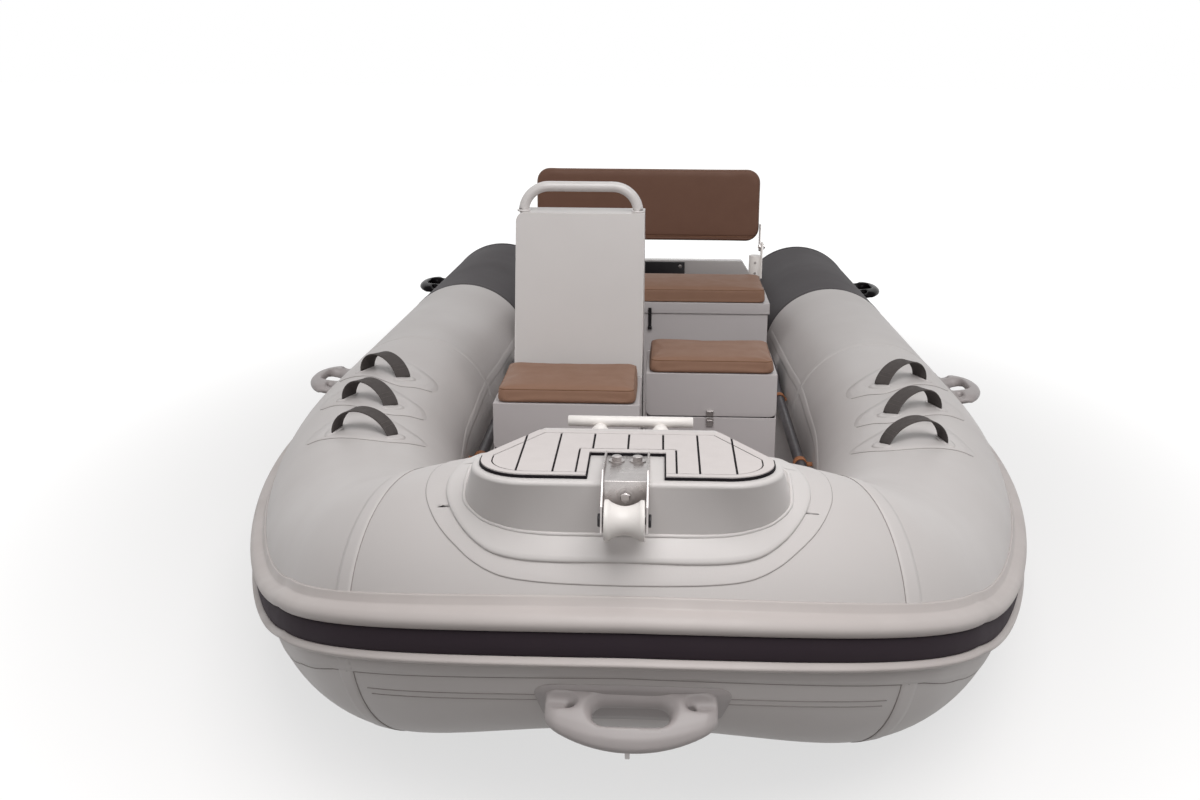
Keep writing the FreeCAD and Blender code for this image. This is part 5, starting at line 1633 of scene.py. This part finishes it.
class Padding:
    """Turns a plain block of foam into a stuffed, covered cushion."""

    def __init__(self, voxel: float = 0.005, pressure: float = 4.0) -> None:
        """Sets the size of the remesh and the stuffing's pressure."""
        self.voxel = voxel
        self.pressure = pressure

    def swell(self, piece: Piece, cap: float, flat: Callable[[Vector], bool]) -> Piece:
        """Swells a piece by a short cloth simulation.

        Args:
            piece: The foam block, a little smaller than the finished cushion.
            cap: How far a point may move in metres.
            flat: Says of a point whether it rests on something and stays.

        Returns:
            The same object, swollen.
        """
        melt = piece.modifiers.new("melt", "REMESH")
        melt.mode = "VOXEL"
        melt.voxel_size = self.voxel
        settled(piece)
        held = piece.vertex_groups.new(name="held")
        held.add([v.index for v in piece.data.vertices if flat(v.co)], 1.0, "REPLACE")
        start = [v.co.copy() for v in piece.data.vertices]
        swollen = self.simulated(piece)
        for vertex, old, new in zip(piece.data.vertices, start, swollen):
            move = new - old
            if move.length > cap:
                move = move * (cap / move.length)
            vertex.co = old + move
        soften = piece.modifiers.new("soften", "SMOOTH")
        soften.iterations = 3
        finer = piece.modifiers.new("finer", "SUBSURF")
        finer.levels = 1
        finer.render_levels = 1
        return smoothed(settled(piece))

    def simulated(self, piece: Piece, frames: int = 20) -> List[Vector]:
        """Runs the cloth under pressure for some frames, and gives where its points end."""
        cloth = piece.modifiers.new("cloth", "CLOTH")
        for name, value in (("quality", 4), ("mass", 0.3), ("tension_stiffness", 18.0),
                            ("compression_stiffness", 18.0), ("bending_stiffness", 3.0),
                            ("use_pressure", True), ("uniform_pressure_force", self.pressure),
                            ("vertex_group_mass", "held")):
            setattr(cloth.settings, name, value)
        cloth.settings.effector_weights.gravity = 0.0
        cloth.collision_settings.use_self_collision = False
        cloth.point_cache.frame_start = 1
        cloth.point_cache.frame_end = frames
        scene = bpy.context.scene
        for step in range(1, frames + 1):
            scene.frame_set(step)
        graph = bpy.context.evaluated_depsgraph_get()
        swollen = [v.co.copy() for v in piece.evaluated_get(graph).data.vertices]
        piece.modifiers.clear()
        piece.vertex_groups.clear()
        scene.frame_set(1)
        return swollen

    def crowned(self, name: str, low: Sequence[float], high: Sequence[float], r: float,
                crown: float) -> Piece:
        """Makes a foam block with round upright corners and a slightly crowned top.

        Args:
            name: The piece's name.
            low: Its lower corner.
            high: Its upper corner.
            r: Radius of its upright corners.
            crown: How much higher its middle is.

        Returns:
            The block.
        """
        x0, y0, z0 = low
        x1, y1, z1 = high
        mid_x, mid_y = (x0 + x1) / 2, (y0 + y1) / 2
        edge = min(0.006, (z1 - z0) / 4)
        rings = []
        for inset, z in ((edge, z0), (0.0, z0 + edge), (0.0, z1 - edge), (edge * 0.3, z1 - edge * 0.4),
                         (edge, z1)):
            ring = []
            for x, y, _, _ in corners(x0, y0, x1, y1, r, 6):
                dx, dy = mid_x - x, mid_y - y
                length = math.hypot(dx, dy)
                ring.append(Vector((x + dx / length * inset, y + dy / length * inset, z)))
            rings.append(ring)
        rim, steps = rings[-1], 12
        for share in [i / steps for i in range(1, steps)]:
            rings.append([Vector((p.x + (mid_x - p.x) * share, p.y + (mid_y - p.y) * share,
                                  z1 + crown * (1 - (1 - share) ** 2))) for p in rim])
        return loft(name, rings)


@dataclass
class Cushions:
    """The seat cushions, stuffed and piped."""

    top: float = 0.455
    lid: float = 0.418
    bench_top: float = 0.463
    inset: float = 0.0035
    corner: float = 0.018
    crown: float = 0.003

    def build(self) -> List[Piece]:
        """Builds the three seat cushions."""
        made = []
        padding = Padding()
        for name, node, body, high in (("console_cushion", "console_seat_cushion", "console_lid", self.top),
                                       ("port_cushion", "port_seat_cushion", "port_lid", self.top),
                                       ("bench_cushion", "bench_cushion", "bench_top", self.bench_top)):
            low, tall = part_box(node)
            x0, y0 = low[0] + self.inset, low[1] + self.inset
            x1, y1 = tall[0] - self.inset, tall[1] - self.inset
            foam = padding.crowned(name + "_cover", (x0, y0, self.lid + 0.0006), (x1, y1, high - self.crown),
                                   self.corner, self.crown)
            padding.swell(foam, 0.003, lambda p: p.z < self.lid + 0.004)
            dress(foam, VINYL_BROWN, body, "upholstery", (node,))
            made += [foam, piped(name + "_seam", foam, rounded(x0, y0, x1, y1, self.corner),
                                 lambda x, y, z=high - 0.0065: Vector((x, y, z)), 0.0013, body)]
        return made


def piped(name: str, cover: Piece, walk: Sequence[Row], at: Callable[[float, float], Vector], radius: float,
          body: str) -> Piece:
    """Lays a piped seam on a swollen cover.

    Args:
        name: The seam's name.
        cover: The cover, already swollen.
        walk: Flat points with their outward directions.
        at: Turns a flat point into a place of the row frame.
        radius: The seam's radius in metres.
        body: The body that it moves with.

    Returns:
        The seam.
    """
    tree = BVHTree.FromPolygons([v.co for v in cover.data.vertices],
                                [list(q.vertices) for q in cover.data.polygons])
    path = []
    for x, y, nx, ny in walk:
        out = at(nx, ny) - at(0.0, 0.0)
        hit = tree.ray_cast(at(x, y) + out * 0.03, -out)[0]
        if hit is not None:
            path.append(hit)
    return dress(PATHS.along(name, path, radius, VINYL_SEAM, True, 8), VINYL_SEAM, body, "upholstery")


@dataclass
class Lockers:
    """The seat boxes with their lids, hinges and latch, and the bench behind."""

    fold: float = 0.0018
    step: float = 0.0005
    # Middle of the latch, the box's front behind it, and the height where lid and box meet
    latch_x: float = 0.168
    latch_y: float = -0.446
    latch_line: float = 0.312
    catch_x: float = 0.0135

    def build(self) -> List[Piece]:
        """Dresses the sheet-metal boxes, lids and hinges, and adds the latch and the catch."""
        made = []
        for node, body in (("console_seat_box", "boat"), ("console_seat_lid", "console_lid"),
                           ("port_seat_box", "boat"), ("port_seat_lid", "port_lid"), ("bench_box", "boat"),
                           ("bench_lid", "bench_top")):
            sheet = softened(node, self.fold, 3, merge=self.step)
            made.append(dress(sheet, POWDER_GREY, body, "painted_locker"))
        for node in ("console_seat_hinge", "port_seat_hinge", "bench_hinge"):
            repaint(node, STAINLESS)
        return made + self.latch() + self.catch()

    def latch(self) -> List[Piece]:
        """Makes the port seat's draw latch: a lever on the box under a keeper on the lid's skirt."""
        x, y, line = self.latch_x, self.latch_y, self.latch_line
        made = []
        # Heights of the plate and of the rib over it, from the line where lid and box meet
        for name, body, nodes, plate, rib in (
                ("port_seat_latch_lever", "boat", ("port_seat_latch",), (-0.024, -0.0015), (-0.012, -0.008)),
                ("port_seat_latch_keeper", "port_lid", (), (0.001, 0.0165), (0.0115, 0.0150))):
            z0, z1 = line + plate[0], line + plate[1]
            z2, z3 = line + rib[0], line + rib[1]
            parts = [block("plate", (x - 0.0085, y - 0.0042, z0), (x + 0.0085, y + 0.0005, z1)),
                     block("rib", (x - 0.0070, y - 0.0085, z2), (x + 0.0070, y - 0.0030, z3))]
            for at in (x - 0.0075, x + 0.0075):
                parts.append(block("cheek", (at - 0.001, y - 0.0075, z0 + 0.001),
                                   (at + 0.001, y - 0.0030, z1 - 0.001)))
            made.append(dress(bevelled(joined(name, parts), 0.0006, 2), STAINLESS, body, "stainless", nodes))
        return made

    def catch(self) -> List[Piece]:
        """Makes the bench's rubber catch: a strap on the box that hooks over a tab on the lid's skirt."""
        x, box_y, lid = self.catch_x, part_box("bench_box")[0][1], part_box("bench_lid")[0]
        made = []
        # Each block's half width, reach before and behind the face, and heights from the skirt's edge
        for name, body, y, blocks in (
                ("bench_catch", "boat", box_y, ((0.0050, 0.0060, 0.0005, -0.044, -0.0015),
                                                (0.0065, 0.0100, -0.0010, -0.050, -0.041))),
                ("bench_catch_hook", "bench_top", lid[1], ((0.0050, 0.0060, 0.0005, 0.001, 0.017),
                                                           (0.0050, 0.0095, -0.0030, 0.012, 0.018)))):
            parts = [block(name, (x - half, y - out, lid[2] + low), (x + half, y + into, lid[2] + high))
                     for half, out, into, low, high in blocks]
            made.append(dress(bevelled(joined(name, parts), 0.0010, 2), NYLON_BLACK, body, "black_moulding"))
        return made


@dataclass
class Backrest:
    """The folding backrest with its padded cover, arms, sockets and hinges."""

    half: float = 0.366
    low: float = 0.551
    high: float = 0.790
    middle_y: float = 0.853
    thick: float = 0.038
    corner: float = 0.042
    inset: float = 0.003
    seam_z: float = 0.570
    hinge_z: float = 0.537

    def build(self) -> List[Piece]:
        """Builds the pad, its rolled lower seam and the metal that carries it."""
        made = [self.pad()]
        made += self.seams(made[0])
        made.append(dress(softened("backrest_arms", 0.0008), STAINLESS, "backrest", "stainless"))
        made.append(dress(softened("backrest_posts", 0.0022), NYLON_WHITE, slot="white_moulding"))
        return made + self.pins()

    def pad(self) -> Piece:
        """Stuffs the backrest's cover."""
        x, z0, z1 = self.half - self.inset, self.low + self.inset, self.high - self.inset
        half = self.thick / 2 - 0.005
        mid_z = (z0 + z1) / 2
        outline = corners(-x, z0, x, z1, self.corner, 8)
        rings = []
        # How far each ring lies inside the outline, and its distance from the middle of the thickness
        for inward, y in ((0.060, -half - 0.001), (0.006, -half), (0.0015, -half + 0.002),
                          (0.0, -half + 0.006), (0.0, half - 0.006), (0.0015, half - 0.002), (0.006, half),
                          (0.060, half + 0.001)):
            wide, tall = 1 - inward / x, 1 - inward / (z1 - mid_z)
            rings.append([Vector((px * wide, self.middle_y + y, mid_z + (pz - mid_z) * tall))
                          for px, pz, _, _ in outline])
        foam = loft("backrest_cover", rings)
        Padding(0.005, 3.6).swell(foam, 0.003, lambda p: False)
        self.hollow(foam)
        # The cover takes the cushions' vinyl painted darker, as shade on the backrest's upright face.
        dress(foam, VINYL_BROWN_SHADED, "backrest", "upholstery", ("backrest_pad",))
        return foam

    def hollow(self, foam: Piece) -> None:
        """Draws the cover in along the lower seam, where the welt is sewn through."""
        for vertex in foam.data.vertices:
            away = abs(vertex.co.z - self.seam_z) / 0.006
            if away < 1.0:
                depth = 0.0022 * (1 - away * away)
                vertex.co.y -= math.copysign(depth, vertex.co.y - self.middle_y)
        foam.data.update()

    def seams(self, foam: Piece) -> List[Piece]:
        """Sews the welt round the edge and the hem above the rolled lower edge."""
        x = self.half - self.inset
        edge = rounded(-x, self.low + self.inset, x, self.high - self.inset, self.corner)
        reach, count = self.half - 0.012, 60
        front = [(reach * i / count, -0.02, 0.0, -1.0) for i in range(-count, count + 1)]
        back = [(x, -y, 0.0, 1.0) for x, y, _, _ in reversed(front)]
        return [piped("backrest_edge_welt", foam, edge,
                      lambda x, z: Vector((x, self.middle_y, z)), 0.0015, "backrest"),
                piped("backrest_hem", foam, front + back,
                      lambda x, y: Vector((x, self.middle_y + y, self.seam_z)), 0.0012, "backrest")]

    def pins(self) -> List[Piece]:
        """Puts the hinge's bolt heads on both arms and the screws on the sockets."""
        heads = [(Vector((side * (self.half + 0.0132), self.middle_y, self.hinge_z)),
                  Matrix.Rotation(side * math.pi / 2, 3, "Y")) for side in (-1, 1)]
        screws = [(Vector((x, self.middle_y - 0.0192, z)), FACES_BOW)
                  for x in (-0.3525, 0.3525) for z in (0.452, 0.486)]
        return [fasteners("backrest_hinge_bolts", 0.011, 0.005, heads),
                fasteners("socket_screws", 0.0042, 0.002, screws)]


@dataclass
class Helm:
    """The steering console with its grab rail, dash and wheel."""

    x0: float = -0.307
    x1: float = 0.003
    top: float = 0.790
    # The shell's profile: foot, front, height of its knees, back of its top, and the dash's lower edge
    low: float = 0.104
    foot_y: float = -0.434
    front_y: float = -0.360
    knee_z: float = 0.420
    back_y: float = -0.250
    dash_y: float = -0.165
    dash_z: float = 0.640
    after_y: float = -0.090
    # Radius of the rolled upper starboard edge
    roll: float = 0.020
    rail_y: float = -0.325
    rail_r: float = 0.0125
    rail_high: float = 0.850
    bend: float = 0.062

    def build(self) -> List[Piece]:
        """Builds every piece of the helm."""
        made = [dress(self.shell(), POWDER_PALE, slot="painted_locker", nodes=("console_body",))]
        return made + self.rail() + self.dash() + self.wheel()

    def shell(self) -> Piece:
        """Folds the console's shell, with its starboard top edge rolled over."""
        turns = [math.radians(15 * i) for i in range(7)]
        rings = []
        for x, away in [(self.x0 + self.roll * (1 - math.cos(t)), self.roll * (1 - math.sin(t)))
                        for t in turns] + [(self.x1, 0.0)]:
            high = self.top - away
            rise = (high - self.knee_z) / (self.top - self.knee_z)
            front = self.foot_y + (self.front_y - self.foot_y) * rise
            back = self.back_y + (self.dash_y - self.back_y) * (self.top - high) / (self.top - self.dash_z)
            rings.append([Vector((x, y, z)) for y, z in (
                (self.foot_y, self.low), (self.foot_y, self.knee_z), (front, high), (back, high),
                (self.dash_y, self.dash_z), (self.after_y, self.knee_z), (self.after_y, self.low))])
        return bevelled(loft("console_shell", rings, smooth=False), 0.0035, 3, 20.0)

    def rail(self) -> List[Piece]:
        """Bends the grab rail and sets its feet on the console's top."""
        feet = (self.x0 + 0.016, self.x1 - 0.016)
        shoulder = self.rail_high - self.bend
        halves = []
        for x, inward in zip(feet, (1, -1)):
            half = [Vector((x, self.rail_y, self.top + 0.0005))]
            for t in [math.pi / 2 * i / 16 for i in range(17)]:
                half.append(Vector((x + inward * self.bend * (1 - math.cos(t)), self.rail_y,
                                    shoulder + self.bend * math.sin(t))))
            halves.append(half)
        path = halves[0] + halves[1][::-1]
        path = [p for i, p in enumerate(path) if i == 0 or (p - path[i - 1]).length > 0.0005]
        tube = PATHS.along("grab_rail_tube", path, self.rail_r, POWDER_GLOSS, sides=32)
        dress(tube, POWDER_GLOSS, slot="white_moulding", nodes=("console_grab_rail",))
        beads = [PATHS.along("bead", disc(2, (x, self.rail_y, self.top + 0.0018), 0.0135, 48), 0.0026,
                             POWDER_GLOSS, closed=True, sides=10, ripple=0.0008) for x in feet]
        return [tube, dress(joined("grab_rail_welds", beads), POWDER_GLOSS, slot="white_moulding")]

    def dash(self) -> List[Piece]:
        """Sets two gauges and a switch panel into the console's dash."""
        normal = Vector((0.0, self.top - self.dash_z, self.dash_y - self.back_y)).normalized()
        across = Vector((1.0, 0.0, 0.0))
        face = Matrix((across, normal.cross(across), normal)).transposed()
        middle = Vector(((self.x0 + self.x1) / 2, (self.back_y + self.dash_y) / 2,
                         (self.top + self.dash_z) / 2))
        # Radius and height of a gauge's bezel and glass, and the circle that its ticks stand on
        rows = ((0.034, 0.0), (0.034, 0.003), (0.032, 0.0052), (0.0285, 0.0056), (0.0272, 0.0040))
        dial, glass = 0.0215, 0.0041
        gauges, ticks = [], []
        for dx in (-0.062, 0.062):
            at = middle + Vector((dx, 0, 0)) + normal * 0.0006
            gauges.append(loft("gauge", [[at + face @ Vector((r * math.cos(t), r * math.sin(t), z))
                                          for t in circle(48)] for r, z in rows]))
            spots = []
            for t in [math.radians(225 - 27 * i) for i in range(11)]:
                spots.append((at + face @ Vector((dial * math.cos(t), dial * math.sin(t), glass)),
                              face @ Matrix.Rotation(t - math.pi / 2, 3, "Z")))
            tick = block("tick", (-0.0005, -0.0028, 0.0), (0.0005, 0.0028, 0.0004))
            ticks.append(COPIES.at("ticks", tick, spots, NYLON_WHITE))
        plate = block("switch_plate", (-0.030, -0.020, 0.0), (0.030, 0.020, 0.003))
        for vertex in plate.data.vertices:
            vertex.co = middle + normal * 0.0006 + face @ Vector(vertex.co)
        rocker = bevelled(block("rocker", (-0.006, -0.010, 0.0), (0.006, 0.010, 0.0045)), 0.0015, 2)
        spots = [(middle + across * dx + normal * 0.0034, face) for dx in (-0.018, 0.0, 0.018)]
        switches = COPIES.at("dash_switches", rocker, spots, PLASTIC_DARK)
        return [dress(bevelled(joined("dash_gauges", gauges), 0.0004, 1), NYLON_BLACK, slot="black_moulding"),
                dress(joined("gauge_ticks", ticks), NYLON_WHITE, slot="white_moulding"),
                dress(bevelled(plate, 0.0012, 2), NYLON_BLACK, slot="black_moulding"),
                dress(switches, PLASTIC_DARK, slot="wheel_black")]

    def wheel(self) -> List[Piece]:
        """Dresses the wheel and its boss."""
        return [dress(softened("helm_boss", 0.004, 3), PLASTIC_DARK, slot="wheel_black"),
                dress(softened("steering_wheel", 0.003, 3), PLASTIC_DARK, "helm_wheel", "wheel_black")]


@dataclass
class Shell:
    """The hull, keel, deck, transom and what is bolted to them."""

    stern_y: float = 1.562
    inner_y: float = 1.520

    def build(self) -> List[Piece]:
        """Dresses the shell's solids."""
        made = []
        for node, width, segments, angle, finish, slot in (
                ("hull", 0.004, 2, 25.0, GELCOAT, "gelcoat"), ("transom", 0.005, 3, 35.0, GELCOAT, "gelcoat"),
                ("keel_and_stem", 0.0012, 2, 35.0, STAINLESS, "stainless"),
                ("motor_pad_outer", 0.002, 2, 35.0, NYLON_BLACK, "black_moulding"),
                ("motor_pad_inner", 0.002, 2, 35.0, NYLON_BLACK, "black_moulding"),
                ("stern_eyes", 0.0012, 2, 35.0, STAINLESS, "stainless")):
            made.append(dress(softened(node, width, segments, angle), finish, slot=slot))
        repaint("deck_floor", DECK_COAT)
        return made + self.bolts() + self.drain()

    def bolts(self) -> List[Piece]:
        """Puts bolt heads on the motor pads and the stern eyes."""
        spots = []
        for x in (-0.118, 0.118):
            for z in (0.205, 0.363):
                spots.append((Vector((x, self.stern_y + 0.008, z)), FACES_STERN))
                spots.append((Vector((x, self.inner_y - 0.008, z)), FACES_BOW))
        spots += [(Vector((x, self.stern_y + 0.006, z)), FACES_STERN)
                  for x in (-0.300, 0.300) for z in (0.160, 0.220)]
        return [fasteners("transom_bolts", 0.0075, 0.0035, spots)]

    def drain(self) -> List[Piece]:
        """Makes the self-bailing drain's flange and plug on the transom."""
        rows = ((0.0, 0.026), (0.003, 0.026), (0.0045, 0.0235), (0.0045, 0.016), (0.009, 0.015),
                (0.0102, 0.012))
        flange = loft("stern_drain", turned(1, (0.170, self.stern_y, 0.062), rows, 40))
        return [dress(bevelled(flange, 0.0005, 1), NYLON_BLACK, slot="black_moulding")]


@dataclass
class Oars:
    """The two stowed oars with their straps."""

    x: float = 0.384
    z: float = 0.215
    fore: float = -0.640
    neck: float = 0.160
    tip: float = 0.430
    grip_r: float = 0.0140
    shaft_r: float = 0.0132
    # Half the blade's width and half its thickness, and the height of its rib
    blade_half: float = 0.061
    blade_thin: float = 0.0032
    rib_high: float = 0.0045

    def build(self) -> List[Piece]:
        """Builds both oars and dresses their straps."""
        made = []
        for side, label in SIDES:
            made.append(dress(self.oar(side, label), PLASTIC_DARK, slot="oar_dark", nodes=("oar_" + label,)))
            made.append(dress(softened("oar_straps_" + label, 0.0006), STRAP_BROWN, slot="strap_brown"))
        return made

    def oar(self, side: int, label: str) -> Piece:
        """Makes an oar: ribbed grip, round shaft and a blade with a rib down its middle."""
        x, big, thin = side * self.x, self.grip_r, self.shaft_r
        rows = [(self.fore - 0.0138, 0.003), (self.fore - 0.0125, 0.0075), (self.fore - 0.008, 0.0120),
                (self.fore, big)]
        for i in range(14):
            y = self.fore + 0.008 + i * 0.008
            rows += [(y, big), (y + 0.002, 0.0131), (y + 0.004, 0.0131), (y + 0.006, big)]
        start = self.neck - 0.02
        rows += [(self.fore + 0.125, big), (self.fore + 0.127, thin), (start, thin)]
        rings = [disc(1, (x, y, self.z), r, 32) for y, r in rows]
        for share in [i / 16 for i in range(1, 17)]:
            swell = min(1.0, share / 0.45)
            wide = thin + (self.blade_half - thin) * (3 * swell ** 2 - 2 * swell ** 3)
            if share > 0.9:
                wide *= math.sqrt(max(0.12, 1 - ((share - 0.9) / 0.1) ** 2 * 0.75))
            flat = thin + (self.blade_thin - thin) * min(1.0, share / 0.6)
            ring = []
            for t in circle(32):
                rib = self.rib_high * math.exp(-(math.sin(t) * wide / 0.012) ** 2) if share < 0.97 else 0.0
                out = abs(math.cos(t)) ** 0.6 * flat + rib * abs(math.cos(t))
                ring.append(Vector((x + math.copysign(out, math.cos(t)), start + (self.tip - start) * share,
                                    self.z + wide * math.sin(t))))
            rings.append(ring)
        return loft("stowed_oar_" + label, rings)


# Name, place, aim, size and power of the soft lamps
LAMPS = (("lamp_above", (0.6, -3.6, 4.1), (0.0, -0.6, 0.2), 3.4, 168.0),
         ("lamp_port", (4.5, -2.8, 2.6), (0.0, 0.0, 0.4), 3.0, 8.0),
         ("lamp_starboard", (-4.5, -2.8, 2.6), (0.0, 0.0, 0.4), 3.0, 10.0))


@dataclass
class Studio:
    """The pale floor, the soft lights and the camera."""

    white: str = "#FFFFFF"
    shade: str = "#8C8A89"
    # How much of the sky's white lights the boat
    sky: float = 0.36
    # The floor's glow is full beyond an oval round the boat, which these shares of X and Y make a circle
    oval: Row = (0.62, 0.42, 0.0)
    spot: Row = (0.0408, -3.7251, 1.2055)
    yaw: float = -0.0424
    pitch: float = 0.2553
    roll: float = -0.0053

    def build(self) -> None:
        """Builds the floor, the world, the lamps and the camera."""
        self.floor()
        self.world()
        self.lamps()
        self.camera()

    def seen(self, tree: Tree, *kinds: str) -> Socket:
        """Gives 1 to rays of the camera and of the other kinds that are named."""
        path = add(tree, "ShaderNodeLightPath")
        level = path.outputs["Is Camera Ray"]
        for kind in kinds:
            level = add(tree, "ShaderNodeMath", props={"operation": "MAXIMUM"},
                        links={0: level, 1: path.outputs["Is %s Ray" % kind]}).outputs[0]
        return level

    def floor(self) -> None:
        """Lays the floor, white to the camera except where the boat shades it."""
        square = [(-30, -30, 0), (30, -30, 0), (30, 30, 0), (-30, 30, 0)]
        piece = mesh_piece("studio_floor", square, [(0, 1, 2, 3)], False)
        made = bpy.data.materials.new("studio_floor_white")
        made.use_nodes = True
        tree = made.node_tree
        tree.nodes.clear()
        place = add(tree, "ShaderNodeTexCoord").outputs["Object"]
        flat = add(tree, "ShaderNodeVectorMath", props={"operation": "MULTIPLY"}, values={1: self.oval},
                   links={0: place})
        far = add(tree, "ShaderNodeVectorMath", props={"operation": "LENGTH"}, links={0: flat.outputs[0]})
        glow = add(tree, "ShaderNodeMapRange", props={"interpolation_type": "SMOOTHSTEP"},
                   values={"From Min": 0.55, "From Max": 1.5, "To Min": 0.66, "To Max": 1.0},
                   links={"Value": far.outputs["Value"]})
        strength = add(tree, "ShaderNodeMath", props={"operation": "MULTIPLY"},
                       links={0: glow.outputs["Result"], 1: self.seen(tree, "Glossy")})
        light = add(tree, "ShaderNodeEmission", values={"Color": linear(self.white)},
                    links={"Strength": strength.outputs[0]})
        shade = add(tree, "ShaderNodeBsdfDiffuse", values={"Color": linear(self.shade)})
        both = add(tree, "ShaderNodeAddShader",
                   links={0: shade.outputs["BSDF"], 1: light.outputs["Emission"]})
        add(tree, "ShaderNodeOutputMaterial", links={"Surface": both.outputs["Shader"]})
        piece.data.materials.append(made)

    def world(self) -> None:
        """Sets an even sky that the camera and reflections see as white."""
        world = bpy.data.worlds.new("studio_sky")
        bpy.context.scene.world = world
        world.use_nodes = True
        tree = world.node_tree
        tree.nodes.clear()
        level = add(tree, "ShaderNodeMapRange", values={"To Min": self.sky, "To Max": 1.0},
                    links={"Value": self.seen(tree, "Transmission", "Glossy")})
        sky = add(tree, "ShaderNodeBackground", values={"Color": linear(self.white)},
                  links={"Strength": level.outputs["Result"]})
        add(tree, "ShaderNodeOutputWorld", links={"Surface": sky.outputs["Background"]})

    def lamps(self) -> None:
        """Hangs one large soft lamp above, and a weak one at each side."""
        for name, at, aim, size, power in LAMPS:
            lamp = bpy.data.lights.new(name, "AREA")
            lamp.shape = "SQUARE"
            lamp.size = size
            lamp.energy = power
            holder = placed(name, lamp)
            holder.location = at
            holder.rotation_euler = (Vector(aim) - Vector(at)).to_track_quat("-Z", "Y").to_euler()

    def camera(self) -> None:
        """Sets the camera at the photograph's angle."""
        lens = bpy.data.cameras.new("photo_camera")
        lens.lens = 42.0
        lens.sensor_width = 36.0
        lens.clip_end = 200.0
        yaw, pitch, roll = self.yaw, self.pitch, self.roll
        ahead = Vector((math.sin(yaw) * math.cos(pitch), math.cos(yaw) * math.cos(pitch), -math.sin(pitch)))
        right = Vector((math.cos(yaw), -math.sin(yaw), 0.0))
        down = ahead.cross(right)
        across = right * math.cos(roll) + down * math.sin(roll)
        upward = right * math.sin(roll) - down * math.cos(roll)
        turn = Matrix((across, upward, -ahead)).transposed()
        holder = placed("photo_camera", lens)
        holder.matrix_world = Matrix.Translation(Vector(self.spot)) @ turn.to_4x4()
        bpy.context.scene.camera = holder


def main() -> None:
    """Builds the boat's dress and the studio, in order."""
    logging.basicConfig(level=logging.INFO, format="%(message)s")
    bpy.context.scene.view_settings.view_transform = "Standard"
    Studio().build()
    for part in (Collar(), BowGear(), Handles(), Shell(), Lockers(), Helm(), Oars(), Cushions(), Backrest()):
        made = part.build()
        log.info("%s: %d pieces", type(part).__name__, len(made))


if __name__ == "__main__":
    main()
